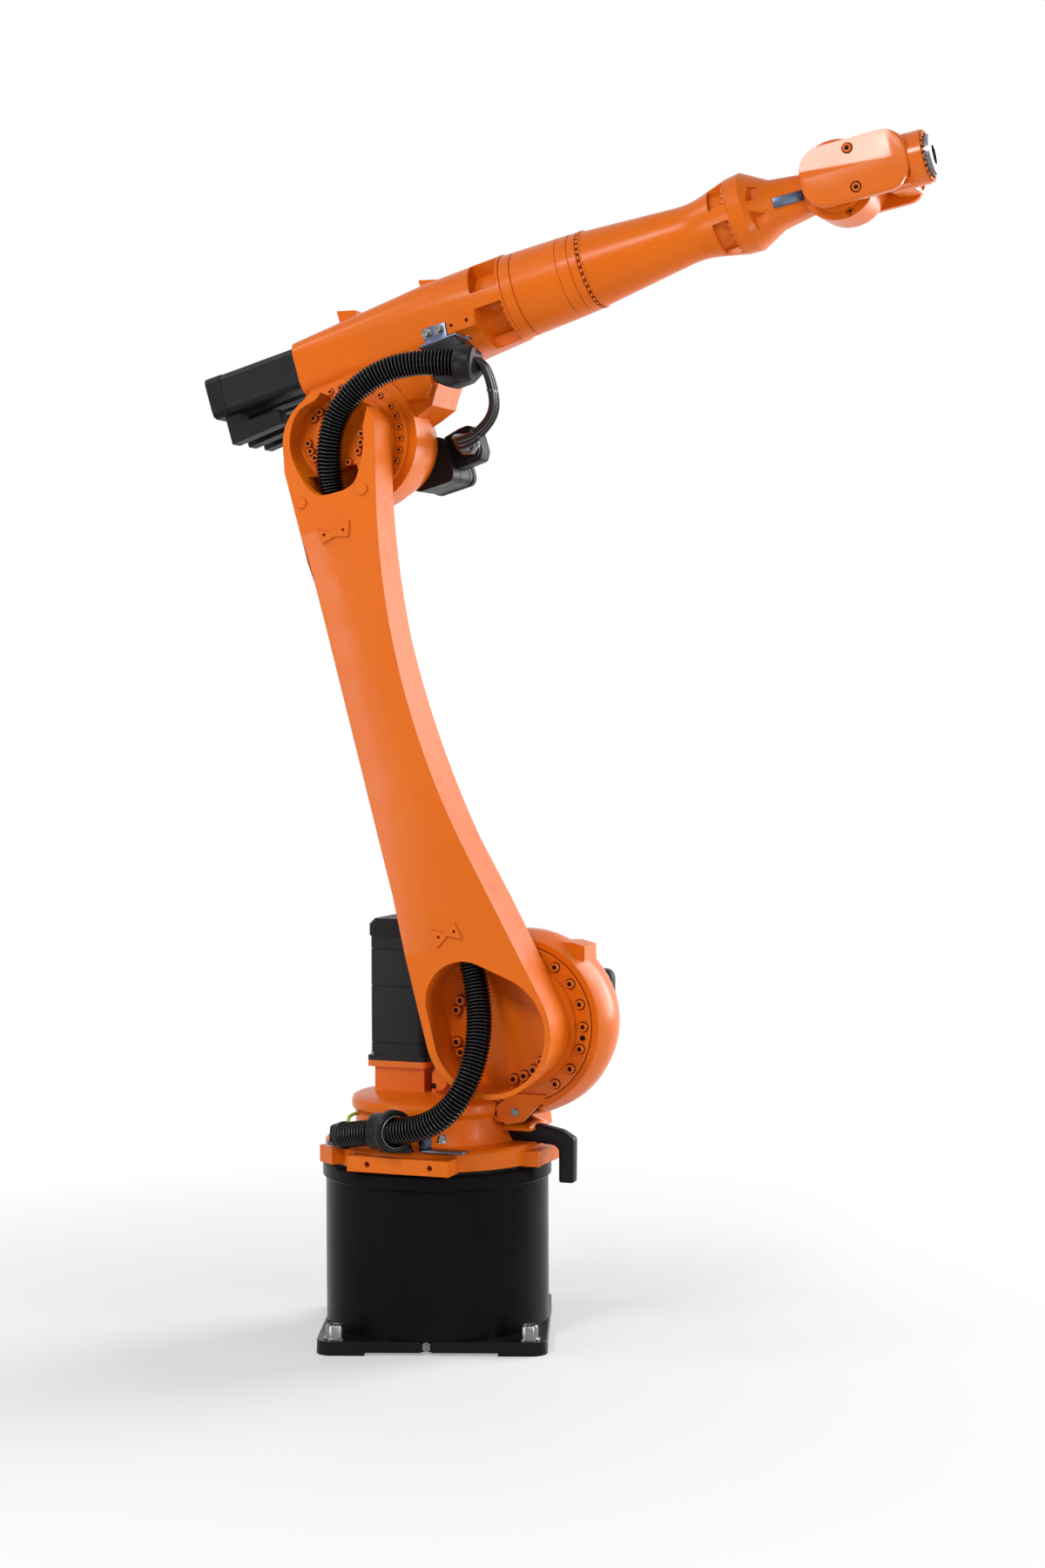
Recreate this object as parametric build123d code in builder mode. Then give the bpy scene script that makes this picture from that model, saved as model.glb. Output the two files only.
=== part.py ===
"""Six-axis industrial robot arm with a 2.0 m reach, on a cylindrical pedestal.

Row frame: X along the base plate's front edge, Z up, origin at the middle of the
base plate's underside, below the first axis. Sizes are in millimetres.
"""

import os
from math import acos, atan2, cos, radians, sin, sqrt, tan

from build123d import *

os.makedirs("parts", exist_ok=True)

# Kinematic lengths
a2_height = 520.0
a2_offset = 160.0
link_length = 980.0
arm_offset = 150.0
wrist_distance = 860.0
flange_distance = 153.0

# Rest pose, in degrees
base_turn = -19.3
link_tilt = 15.85
arm_pitch = 15.85
wrist_pitch = 11.08

# Clearances
bearing_gap = 0.5
seat_gap = 0.3
turn_gap = 5.0

# Base
plate_size = 370.0
plate_thick = 22.4
plate_corner = 26.0
plate_draft = 2.0
bolt_span_x = 310.0
bolt_span_y = 320.0
bolt_hole_radius = 11.0
relief_width = 213.0
relief_depth = 34.0
relief_height = 5.0
earth_notch_radius = 9.0
earth_notch_x = -8.0
cylinder_radius = 183.5
cylinder_top = 262.0
collar_radius = 188.6
collar_height = 24.0
seal_radius = 176.0
seal_height = 6.5

# Column
disc_radius = 184.0
disc_top = 325.0
disc_chamfer = 5.0
block_height = 25.0
front_block = (-75.0, 100.0, 194.0)
side_block = (-40.0, 58.0, 200.0)
corner_tab_angle = -128.0
corner_tab_reach = 206.0
corner_tab_width = 42.0
block_hole_radius = 4.5
block_hole_depth = 18.0
block_hole_x = (-40.0, 68.0)
shoulder_radius = 142.0
shoulder_top = 396.0
shoulder_round = 30.0
web_near = 40.0
web_far = 60.0
drum_face_radius = 139.0
drum_radius = 150.0
drum_near = 48.0
drum_far = 92.0
ring_recess = 5.0
ring_radius = 127.5
ring_groove = 1.5
ring_thick = 9.0
motor_1_x = -50.0
motor_1_width = 106.0
motor_plate_bottom = 440.0
motor_plate_thick = 10.0
motor_1_body = 205.0
motor_cap_height = 28.0
motor_2_width = 118.0
motor_2_length = 150.0

# Link arm
link_flange_radius = 103.0
link_flange_thick = 12.0
link_near_low = 175.0
link_near_high = 190.0
link_low_radius = 107.0
link_inset = 12.0
crank_low = 200.0
crank_high = 640.0
low_pocket_floor = 105.0
low_pocket_radius = 94.0
low_lobe_radius = 65.0
high_pocket_floor = 152.0
high_pocket_radius = 66.0

# Arm
ring_3_near = 82.0
ring_3_radius = 98.0
ring_3_thick = 7.0
drum_3_radius = 112.0
drum_3_far = 62.0
motor_3_width = 98.0
motor_3_length = 120.0
motor_3_centre = (70, -40)
gearbox_start = 306.0
gearbox_end = 404.0
tube_start = 444.0
tube_end = 693.0
gearbox_radius = 69.5
output_radius = 63.0

# Wrist
hub_radius = 60.0
hub_near = 28.0
hub_far = 72.0
wrist_gap = 3.0
cover_near = 45.0
cover_far = 86.0
end_radius = 42.0
flange_radius = 31.5
flange_thick = 11.0
flange_bolt_circle = 50.0
flange_bolt_radius = 2.5
flange_bore_radius = 15.75

# Hoses and cables
hose_radius = 20.5
bend_share = 0.45
tunnel_low = (-11, 190, 143)
tunnel_middle = (-22, 535, 151)
tunnel_high = (-27, 850, 157)
tunnel_radius = 25.0
hose_room = 2.0
mouth_depth = (122, 178)
mouth_across = (-54, 24)
mouth_along = (850, 930)
clamp_ring_radius = 34.0
clamp_ring_width = 26.0
cable_radius = 4.5
cable_pitch = 11.0
bar_radius = 12.5
bar_bend = 20.0

# Frames of the arm plane: local x forward, local y up, local z to the near side
robot = Plane(
    origin=(0, 0, 0),
    x_dir=(cos(radians(base_turn)), sin(radians(base_turn)), 0),
    z_dir=(0, 0, 1),
)


def side_plane(x, z, pitch):
    """Plane in the arm's own plane of motion, its x axis pitched above the horizontal."""
    origin = robot.from_local_coords(Vector(x, 0, z))
    x_dir = robot.x_dir * cos(radians(pitch)) + robot.z_dir * sin(radians(pitch))
    return Plane(origin=origin, x_dir=x_dir, z_dir=robot.y_dir * -1)


def section_plane(side, along):
    """Plane square to a side plane's x axis: local x to the far side, local y up."""
    origin = side.from_local_coords(Vector(along, 0, 0))
    return Plane(origin=origin, x_dir=side.z_dir * -1, z_dir=side.x_dir)


column_side = side_plane(0, 0, 0)
a2_side = side_plane(a2_offset, a2_height, 0)
link_side = side_plane(a2_offset, a2_height, link_tilt)
a3_x = a2_offset - link_length * sin(radians(link_tilt))
a3_z = a2_height + link_length * cos(radians(link_tilt))
a4_x = a3_x - arm_offset * sin(radians(arm_pitch))
a4_z = a3_z + arm_offset * cos(radians(arm_pitch))
arm_side = side_plane(a4_x, a4_z, arm_pitch)
a5_x = a4_x + wrist_distance * cos(radians(arm_pitch))
a5_z = a4_z + wrist_distance * sin(radians(arm_pitch))
wrist_side = side_plane(a5_x, a5_z, wrist_pitch)


def side_axis(side):
    return Axis(side.origin, side.z_dir)


def long_axis(side):
    return Axis(side.origin, side.x_dir)


def save(part, name):
    part.label = name
    export_step(part, f"parts/{name}.step")


# Base plate with relieved edges, foundation holes and an earth screw notch
with BuildPart() as base_plate:
    with BuildSketch():
        RectangleRounded(plate_size, plate_size, plate_corner)
    extrude(amount=plate_thick, taper=plate_draft)
    with BuildSketch():
        with PolarLocations(plate_size / 2, 4):
            Rectangle(2 * relief_depth, relief_width)
    extrude(amount=relief_height, mode=Mode.SUBTRACT)
    with BuildSketch():
        with GridLocations(bolt_span_x, bolt_span_y, 2, 2):
            Circle(bolt_hole_radius)
    extrude(amount=plate_thick, mode=Mode.SUBTRACT)
    with BuildSketch(Plane.XY.offset(relief_height)):
        with Locations((earth_notch_x, -plate_size / 2)):
            Circle(earth_notch_radius)
    extrude(amount=plate_thick, mode=Mode.SUBTRACT)
save(base_plate.part, "base_plate")

collar_top = cylinder_top + collar_height
seal_top = collar_top + seal_height
disc_bottom = seal_top + bearing_gap

with BuildPart() as base_cylinder:
    with BuildSketch(Plane.XY.offset(plate_thick)):
        Circle(cylinder_radius)
    extrude(amount=cylinder_top - plate_thick)
save(base_cylinder.part, "base_cylinder")

with BuildPart() as base_collar:
    with BuildSketch(Plane.XY.offset(cylinder_top)):
        Circle(collar_radius)
    extrude(amount=collar_height)
    chamfer(base_collar.edges().filter_by(GeomType.CIRCLE), 2.5)
save(base_collar.part, "base_collar")

with BuildPart() as base_seal:
    with BuildSketch(Plane.XY.offset(collar_top)):
        Circle(seal_radius)
    extrude(amount=seal_height)
save(base_seal.part, "base_seal")

# Column flange with its front block, forward block and corner tab
block_bottom = collar_top + turn_gap
with BuildPart() as column_flange:
    with BuildSketch(robot.offset(disc_bottom)):
        Circle(disc_radius)
    extrude(amount=disc_top - disc_bottom)
    chamfer(column_flange.edges().group_by(Axis.Z)[-1], disc_chamfer)
    with BuildSketch(robot.offset(block_bottom)):
        x_low, x_high, reach = front_block
        with Locations(((x_low + x_high) / 2, -reach + 25)):
            Rectangle(x_high - x_low, 50)
        y_low, y_high, reach = side_block
        with Locations((reach - 25, -(y_low + y_high) / 2)):
            Rectangle(50, y_high - y_low)
    extrude(amount=block_height)
    with BuildSketch(robot.offset(disc_bottom + 3)):
        with Locations(Location((0, 0, 0), (0, 0, corner_tab_angle))):
            with Locations((corner_tab_reach - 25, 0)):
                Rectangle(50, corner_tab_width)
    extrude(amount=disc_top - disc_bottom - 5)
    with BuildSketch(robot.offset(disc_bottom - turn_gap)):
        Circle(seal_radius)
    extrude(amount=turn_gap, mode=Mode.SUBTRACT)
    with BuildSketch(column_side.offset(front_block[2])):
        with Locations(*[(x, block_bottom + block_height / 2) for x in block_hole_x]):
            Circle(block_hole_radius)
    extrude(amount=-block_hole_depth, mode=Mode.SUBTRACT)
save(column_flange.part, "column_flange")

# Column casting: round shoulder, web and the drum round the second axis
pedestal_low = (motor_1_x - 41, motor_1_x + 47)
with BuildPart() as column_casting:
    with BuildSketch(robot.offset(disc_top)):
        Circle(shoulder_radius - 8)
    with BuildSketch(robot.offset(disc_top + 30)):
        Circle(shoulder_radius)
    loft()
    with BuildSketch(robot.offset(disc_top + 30)):
        Circle(shoulder_radius)
    extrude(amount=shoulder_top - disc_top - 30)
    fillet(column_casting.edges().group_by(Axis.Z)[-1], shoulder_round)
    with BuildSketch(column_side.offset(web_near)):
        with BuildLine():
            Polyline(
                (8, disc_top + 20), (8, 430), (50, 505), (a2_offset, a2_height),
                (a2_offset + 20, disc_top + 20), close=True,
            )
        make_face()
    extrude(amount=-web_near - web_far)
    with BuildSketch(column_side.offset(46)):
        with Locations(((pedestal_low[0] + pedestal_low[1]) / 2, (shoulder_top + motor_plate_bottom) / 2 - 10)):
            Rectangle(pedestal_low[1] - pedestal_low[0], motor_plate_bottom - shoulder_top + 20)
    extrude(amount=-92)
    with BuildSketch(Plane(origin=a2_side.origin, x_dir=a2_side.z_dir, z_dir=a2_side.x_dir * -1)):
        with BuildLine():
            Polyline(
                (drum_near, 0), (drum_near, drum_face_radius), (20, drum_radius),
                (-15, drum_radius), (-50, 142), (-drum_far, 118), (-drum_far, 0), close=True,
            )
        make_face()
    revolve(axis=side_axis(a2_side))
    with BuildSketch(a2_side.offset(drum_near)):
        Circle(ring_radius + ring_groove)
    extrude(amount=-ring_recess, mode=Mode.SUBTRACT)
    with BuildSketch(column_side.offset(web_near)):
        with Locations((28, 418)):
            Circle(12)
    extrude(amount=14)
save(column_casting.part, "column_casting")

with BuildPart() as a2_gear_ring:
    with BuildSketch(a2_side.offset(drum_near - ring_recess)):
        Circle(ring_radius)
    extrude(amount=ring_thick)
    chamfer(a2_gear_ring.edges().filter_by(GeomType.CIRCLE), 1)
save(a2_gear_ring.part, "a2_gear_ring")
a2_ring_face = drum_near - ring_recess + ring_thick

bar_route = [column_side.from_local_coords(Vector(*point)) for point in (
    (124, 339, 5), (222, 335, 5), (222, 247, 5),
)]
with BuildPart() as stop_bar:
    with BuildLine():
        FilletPolyline(*bar_route, radius=bar_bend)
    with BuildSketch(Plane(origin=bar_route[0], z_dir=bar_route[1] - bar_route[0])):
        Circle(bar_radius)
    sweep()
    add(column_casting.part, mode=Mode.SUBTRACT)
    add(column_flange.part, mode=Mode.SUBTRACT)
save(stop_bar.part, "stop_bar")

# First-axis motor, upright on its plate
plate_top = motor_plate_bottom + motor_plate_thick
motor_centre = (motor_1_x, 0)
with BuildPart() as a1_motor_plate:
    with BuildSketch(robot.offset(motor_plate_bottom)):
        with Locations(motor_centre):
            RectangleRounded(motor_1_width, motor_1_width, 8)
    extrude(amount=motor_plate_thick)
save(a1_motor_plate.part, "a1_motor_plate")

with BuildPart() as a1_motor:
    with BuildSketch(robot.offset(plate_top)):
        with Locations(motor_centre):
            RectangleRounded(motor_1_width, motor_1_width, 8)
    extrude(amount=8)
    with BuildSketch(robot.offset(plate_top + 8)):
        with Locations(motor_centre):
            RectangleRounded(motor_1_width - 6, motor_1_width - 6, 14)
    extrude(amount=motor_1_body - 8)
save(a1_motor.part, "a1_motor")

with BuildPart() as a1_motor_cap:
    with BuildSketch(robot.offset(plate_top + motor_1_body)):
        with Locations(motor_centre):
            RectangleRounded(motor_1_width - 2, motor_1_width - 2, 14)
    extrude(amount=motor_cap_height)
    chamfer(a1_motor_cap.edges().group_by(Axis.Z)[-1], 9)
save(a1_motor_cap.part, "a1_motor_cap")

# Second-axis motor on the far side of the drum
with BuildPart() as a2_motor:
    with BuildSketch(a2_side.offset(-drum_far)):
        RectangleRounded(motor_2_width, motor_2_width, 14)
    extrude(amount=-motor_2_length)
save(a2_motor.part, "a2_motor")

with BuildPart() as a2_motor_cap:
    with BuildSketch(a2_side.offset(-drum_far - motor_2_length)):
        RectangleRounded(motor_2_width + 4, motor_2_width + 4, 16)
    extrude(amount=-motor_cap_height)
    chamfer(a2_motor_cap.faces().sort_by(side_axis(a2_side))[0].edges(), 9)
save(a2_motor_cap.part, "a2_motor_cap")


# Hoses: held on the column, threaded through the link arm and held on the arm housing
def bend_radii(points):
    """Largest round of each corner that keeps to its share of the shorter run."""
    radii = []
    for before, corner, after in zip(points, points[1:], points[2:]):
        arriving = corner - before
        leaving = after - corner
        half_turn = radians(arriving.get_angle(leaving)) / 2
        radii.append(bend_share * min(arriving.length, leaving.length) / tan(half_turn))
    return radii


def tube(name, points, radius, radii):
    """Round tube along straight runs joined by tangent arcs."""
    print(name, "bend radii", [round(value) for value in radii])
    with BuildPart() as hose:
        with BuildLine():
            FilletPolyline(*points, radius=radii)
        with BuildSketch(Plane(origin=points[0], z_dir=points[1] - points[0])):
            Circle(radius)
        sweep()
    return hose.part


def placed(side, points):
    return [side.from_local_coords(Vector(*point)) for point in points]


low_end, middle, high_end = placed(link_side, (tunnel_low, tunnel_middle, tunnel_high))
inner_route = [low_end, middle, high_end]
low_entry = low_end + (low_end - middle).normalized() * 80
high_exit = high_end + (high_end - middle).normalized() * 45
lower_route = placed(column_side, (
    (-84, 346, 180), (-36, 356, 196), (54, 366, 211), (104, 392, 211), (135, 440, 200),
    (145, 498, 176), (139, 556, 154),
)) + [low_entry, low_end]
upper_route = [high_end, high_exit] + placed(arm_side, (
    (-12, -180, 174), (18, -126, 179), (66, -92, 177), (128, -77, 168), (190, -87, 156), (244, -107, 146),
))


# Link arm: a drafted casting with a deep pocket at each end
def tangent_point(radius, point):
    """Point where a line from the given point touches a circle about the origin, on its right."""
    reach = sqrt(point[0] ** 2 + point[1] ** 2)
    angle = atan2(point[1], point[0]) - acos(radius / reach)
    return (radius * cos(angle), radius * sin(angle))


def link_outline(inset):
    """Outline seen from the near side: straight at the back, hollow at the front."""
    low_radius = link_low_radius - inset
    waist_start = (41 - 0.8 * inset, 305)
    right = tangent_point(low_radius, waist_start)
    left_start = (-100 + inset, 240)
    left = tangent_point(low_radius, (100 - inset, 240))
    left = (-left[0], left[1])
    high_right = (75 - inset, link_length - 15)
    high_left = (-84 + inset, link_length - 30)
    with BuildSketch() as outline:
        with BuildLine():
            Line(right, waist_start)
            ThreePointArc(waist_start, (16 - 0.2 * inset, 545), (60 - inset, 874))
            Line((60 - inset, 874), high_right)
            ThreePointArc(high_right, (-2, link_length + 70 - inset), high_left)
            Line(high_left, (-89 + inset, 700))
            Line((-89 + inset, 700), left_start)
            Line(left_start, left)
            ThreePointArc(left, (0, -low_radius), right)
        make_face()
    return outline.sketch


link_far_low = a2_ring_face + bearing_gap + link_flange_thick
link_far_high = ring_3_near + ring_3_thick + bearing_gap + link_flange_thick
with BuildPart() as link_arm:
    with BuildSketch(link_side.offset(link_far_low)):
        add(link_outline(link_inset))
    with BuildSketch(link_side.offset(link_near_high)):
        add(link_outline(0))
    loft(ruled=True)
    with BuildSketch(Plane(origin=link_side.origin, x_dir=link_side.z_dir, z_dir=link_side.x_dir * -1)):
        with BuildLine():
            Polyline(
                (link_near_low, -200), (link_near_high, link_length + 200), (300, link_length + 200),
                (300, -200), close=True,
            )
        make_face()
        with BuildLine():
            Polyline(
                (0, link_length + 200), (link_far_high, link_length + 200), (link_far_high, crank_high),
                (link_far_low, crank_low), (0, crank_low), close=True,
            )
        make_face()
    extrude(amount=300, both=True, mode=Mode.SUBTRACT)
    with BuildSketch(link_side.offset(link_far_low)):
        Circle(link_flange_radius)
    extrude(amount=-link_flange_thick)
    with BuildSketch(link_side.offset(link_far_high)):
        with Locations((0, link_length)):
            Circle(76)
    extrude(amount=-link_flange_thick)
    with BuildSketch(link_side.offset(low_pocket_floor)):
        with Locations((2, -3)):
            Circle(low_pocket_radius)
        with Locations((-25, 55)):
            Circle(low_lobe_radius)
        make_hull()
    extrude(amount=200, mode=Mode.SUBTRACT)
    with BuildSketch(link_side.offset(high_pocket_floor)):
        with Locations((-4, link_length - 12)):
            Circle(high_pocket_radius)
        with BuildLine():
            Polyline(
                (-60, link_length - 40), (-56, link_length - 92), (14, link_length - 95),
                (30, link_length - 84), (130, link_length + 90), (60, link_length + 130),
                (20, link_length + 40), close=True,
            )
        make_face()
    extrude(amount=200, mode=Mode.SUBTRACT)
    with BuildSketch(link_side.offset(mouth_depth[0])):
        with Locations((sum(mouth_across) / 2, sum(mouth_along) / 2)):
            Rectangle(mouth_across[1] - mouth_across[0], mouth_along[1] - mouth_along[0])
    extrude(amount=mouth_depth[1] - mouth_depth[0], mode=Mode.SUBTRACT)
    tunnel_route = [low_entry, middle, high_exit]
    add(tube("tunnel", tunnel_route, tunnel_radius, bend_radii(tunnel_route)), mode=Mode.SUBTRACT)
    for room_route in (lower_route[-5:], upper_route[:6]):
        room = tube("room for the hose", room_route, hose_radius + hose_room, bend_radii(room_route))
        add(room, mode=Mode.SUBTRACT)
save(link_arm.part, "link_arm")


lower_hose = tube("lower_hose", lower_route, hose_radius, bend_radii(lower_route))
save(lower_hose, "lower_hose")
save(tube("hose_in_link", inner_route, hose_radius, bend_radii(inner_route)), "hose_in_link")
upper_hose = tube("upper_hose", upper_route, hose_radius, bend_radii(upper_route))
save(upper_hose, "upper_hose")

ring_centre = (lower_route[1] + lower_route[2]) / 2
ring_plane = Plane(origin=ring_centre, x_dir=column_side.z_dir, z_dir=lower_route[2] - lower_route[1])
with BuildPart() as lower_hose_clamp:
    with BuildSketch(ring_plane):
        Circle(clamp_ring_radius)
        with Locations((-clamp_ring_radius / 2, 0)):
            Rectangle(clamp_ring_radius, 30)
        Circle(hose_radius, mode=Mode.SUBTRACT)
    extrude(amount=clamp_ring_width / 2, both=True)
save(lower_hose_clamp.part, "lower_hose_clamp")

with BuildPart() as lower_clamp_bracket:
    with BuildSketch(robot.offset(disc_top)):
        with Locations((22, -158)):
            Rectangle(124, 34)
    extrude(amount=4)
    with BuildSketch(column_side.offset(ring_centre.dot(column_side.z_dir) - clamp_ring_radius)):
        with Locations((9, disc_top + 22)):
            Rectangle(50, 44)
    extrude(amount=-4)
    add(lower_hose_clamp.part, mode=Mode.SUBTRACT)
save(lower_clamp_bracket.part, "lower_clamp_bracket")

with BuildPart() as hose_end_fitting:
    with BuildSketch(Plane(origin=lower_route[0], z_dir=lower_route[0] - lower_route[1])):
        Circle(hose_radius + 2)
    extrude(amount=9)
    with BuildSketch(Plane(origin=lower_route[0], z_dir=lower_route[0] - lower_route[1]).offset(9)):
        Circle(13)
    extrude(amount=12)
save(hose_end_fitting.part, "hose_end_fitting")

# Third-axis gear ring and the arm housing
a3_side = side_plane(a3_x, a3_z, arm_pitch)
with BuildPart() as a3_gear_ring:
    with BuildSketch(a3_side.offset(ring_3_near)):
        Circle(ring_3_radius)
    extrude(amount=ring_3_thick)
    chamfer(a3_gear_ring.edges().filter_by(GeomType.CIRCLE), 1)
save(a3_gear_ring.part, "a3_gear_ring")

with BuildPart() as arm_housing:
    with BuildSketch(section_plane(arm_side, -62)):
        with Locations((0, -8)):
            RectangleRounded(180, 96, 26)
    with BuildSketch(section_plane(arm_side, 180)):
        with Locations((0, 2)):
            RectangleRounded(156, 150, 60)
    with BuildSketch(section_plane(arm_side, gearbox_start)):
        RectangleRounded(143, 143, 71)
    loft()
    with BuildSketch(Plane(origin=a3_side.origin, x_dir=a3_side.z_dir, z_dir=a3_side.x_dir * -1)):
        with BuildLine():
            Polyline(
                (ring_3_near, 0), (ring_3_near, drum_3_radius), (20, drum_3_radius),
                (-20, 100), (-drum_3_far, 88), (-drum_3_far, 0), close=True,
            )
        make_face()
    revolve(axis=side_axis(a3_side))
    with BuildSketch(arm_side.offset(70)):
        with BuildLine():
            Polyline(
                (-50, -20), (-90, -arm_offset), (95, -arm_offset), (160, -128), (200, -100), (200, -20),
                close=True,
            )
        make_face()
    extrude(amount=-130)
    with BuildSketch(a3_side.offset(ring_3_near)):
        Circle(ring_3_radius + ring_groove)
    extrude(amount=30, mode=Mode.SUBTRACT)
save(arm_housing.part, "arm_housing")

with BuildPart() as a3_motor:
    with BuildSketch(a3_side.offset(-drum_3_far)):
        with Locations(motor_3_centre):
            RectangleRounded(motor_3_width, motor_3_width, 12)
    extrude(amount=-motor_3_length)
save(a3_motor.part, "a3_motor")

with BuildPart() as a3_motor_cap:
    with BuildSketch(a3_side.offset(-drum_3_far - motor_3_length)):
        with Locations(motor_3_centre):
            RectangleRounded(motor_3_width + 4, motor_3_width + 4, 14)
    extrude(amount=-24)
save(a3_motor_cap.part, "a3_motor_cap")

with BuildPart() as a3_motor_plug:
    with BuildSketch(a3_side.offset(-drum_3_far - 12)):
        with Locations((motor_3_centre[0] + motor_3_width / 2 + 16, motor_3_centre[1] + 4)):
            Rectangle(32, 66)
    extrude(amount=-48)
save(a3_motor_plug.part, "a3_motor_plug")

# Rear motors of the three wrist axes
rear_motor_centres = ((60, "motor_a5"), (0, "motor_a4"), (-60, "motor_a6"))
for near, name in rear_motor_centres:
    with BuildPart() as rear_motor:
        with BuildSketch(section_plane(arm_side, -62)):
            with Locations((-near, -6)):
                RectangleRounded(58, 68, 14)
        extrude(amount=-138)
    save(rear_motor.part, name)

with BuildPart() as rear_motor_caps:
    with BuildSketch(section_plane(arm_side, -62 - 138)):
        with Locations(*[(-near, -6) for near, name in rear_motor_centres]):
            RectangleRounded(59, 70, 14)
    extrude(amount=-28)
save(rear_motor_caps.part, "rear_motor_caps")

with BuildPart() as rear_motor_plugs:
    for near, name in rear_motor_centres:
        with BuildSketch(arm_side.offset(near + 14)):
            with BuildLine():
                Polyline(
                    (-214, -41), (-214, -88), (-118, -82), (-118, -58), (-188, -58), (-188, -41),
                    close=True,
                )
            make_face()
        extrude(amount=-28)
save(rear_motor_plugs.part, "rear_motor_plugs")

# Bracket and clamp that hold the upper hose, and the cables that leave it
with BuildPart() as upper_hose_clamp:
    with BuildSketch(arm_side.offset(122)):
        with BuildLine():
            Polyline(
                (188, -59), (240, -58), (262, -92), (259, -125), (236, -134), (196, -128), close=True,
            )
        make_face()
    extrude(amount=50)
    add(upper_hose, mode=Mode.SUBTRACT)
save(upper_hose_clamp.part, "upper_hose_clamp")

with BuildPart() as upper_clamp_bracket:
    with BuildSketch(arm_side.offset(65)):
        with BuildLine():
            Polyline((165, -22), (205, -22), (240, -54), (240, -58), (165, -58), close=True)
        make_face()
    extrude(amount=19)
    with BuildSketch(arm_side.offset(65)):
        with Locations((202, -56)):
            Rectangle(76, 4)
    extrude(amount=107)
    add(arm_housing.part, mode=Mode.SUBTRACT)
    add(upper_hose_clamp.part, mode=Mode.SUBTRACT)
save(upper_clamp_bracket.part, "upper_clamp_bracket")

cable_route = (
    (267, -108, 130), (267, -142, 112), (246, -182, 72), (195, -203, 48), (155, -203, 30),
    (135, -187, -15), (135, -187, -drum_3_far - 12),
)
cable_spread = ((0, 1), (0, 1), (0, 1), (0.2, 1), (0.6, 0.9), (1, 0), (1, 0))
with BuildPart() as arm_cables:
    for strand in (-cable_pitch, 0, cable_pitch):
        route = placed(arm_side, [
            (along, up + strand * up_share, near + strand * near_share)
            for (along, up, near), (up_share, near_share) in zip(cable_route, cable_spread)
        ])
        add(tube("arm_cable", route, cable_radius, bend_radii(route)))
save(arm_cables.part, "arm_cables")

# Fourth-axis gearbox and everything that turns with it
with BuildPart() as a4_gearbox:
    with BuildSketch(section_plane(arm_side, gearbox_start)):
        Circle(gearbox_radius)
    with BuildSketch(section_plane(arm_side, gearbox_end)):
        Circle(gearbox_radius - 4)
    loft()
save(a4_gearbox.part, "a4_gearbox")

with BuildPart() as a4_output:
    with BuildSketch(section_plane(arm_side, gearbox_end + bearing_gap)):
        Circle(gearbox_radius - 4)
    with BuildSketch(section_plane(arm_side, tube_start)):
        Circle(output_radius)
    loft()
save(a4_output.part, "a4_output")

with BuildPart() as arm_tube:
    with BuildSketch(arm_side):
        with BuildLine():
            Polyline((tube_end, 0), (tube_start, 0), (tube_start, output_radius - 1), (600, 46))
            Spline((600, 46), (650, 50), (tube_end, 61), tangents=((1, -0.11), (1, 0.3)))
            Line((tube_end, 61), (tube_end, 0))
        make_face()
    revolve(axis=long_axis(arm_side))
save(arm_tube.part, "arm_tube")

hub_middle = (hub_near - hub_far) / 2
a5_arm_side = side_plane(a5_x, a5_z, arm_pitch)
with BuildPart() as wrist_housing:
    with BuildSketch(section_plane(arm_side, tube_end)):
        Circle(61)
    with BuildSketch(section_plane(arm_side, tube_end + 28)):
        Circle(66)
    loft()
    with BuildSketch(section_plane(arm_side, tube_end + 28)):
        Circle(66)
    with BuildSketch(section_plane(arm_side, 800)):
        with Locations((-hub_middle, 0)):
            RectangleRounded(76, 72, 30)
    loft()
    with BuildSketch(section_plane(arm_side, 800)):
        with Locations((-hub_middle, 0)):
            RectangleRounded(76, 72, 30)
    extrude(amount=40)
    with BuildSketch(a5_arm_side.offset(hub_near)):
        Circle(hub_radius)
    extrude(amount=-hub_near - hub_far)
save(wrist_housing.part, "wrist_housing")

def cover_outline(inset):
    with BuildSketch() as outline:
        with Locations((38, 0)):
            RectangleRounded(164 - 2 * inset, 94 - 2 * inset, 34 - inset)
    return outline.sketch


# Tilting wrist body, its covers, the last axis and the tool flange
end_face = flange_distance - flange_thick - bearing_gap
with BuildPart() as wrist_body:
    with BuildSketch(wrist_side.offset(hub_near + bearing_gap)):
        with BuildLine():
            Polyline(
                (40, -16), (62, -24), (76, -35), (92, -39), (112, -39), (112, 39), (92, 38),
                (74, 28), (62, 16), (40, 10), close=True,
            )
        make_face()
    extrude(amount=-hub_near - hub_far - 2 * bearing_gap)
    with BuildSketch(wrist_side.offset(hub_near + bearing_gap)):
        Circle(hub_radius + wrist_gap)
        with Locations((-40, 0)):
            Rectangle(100, 140)
    extrude(amount=-hub_near - hub_far - 2 * bearing_gap, mode=Mode.SUBTRACT)
    with BuildSketch(section_plane(wrist_side, 80)):
        Circle(end_radius)
    extrude(amount=end_face - 20 - 80)
    with BuildSketch(wrist_side.offset(hub_near + bearing_gap)):
        add(cover_outline(0))
    extrude(amount=end_radius, mode=Mode.SUBTRACT)
save(wrist_body.part, "wrist_body")


with BuildPart() as near_cover:
    with BuildSketch(wrist_side.offset(hub_near + bearing_gap)):
        add(cover_outline(0))
    extrude(amount=cover_near - hub_near - bearing_gap)
save(near_cover.part, "near_cover")

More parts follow.
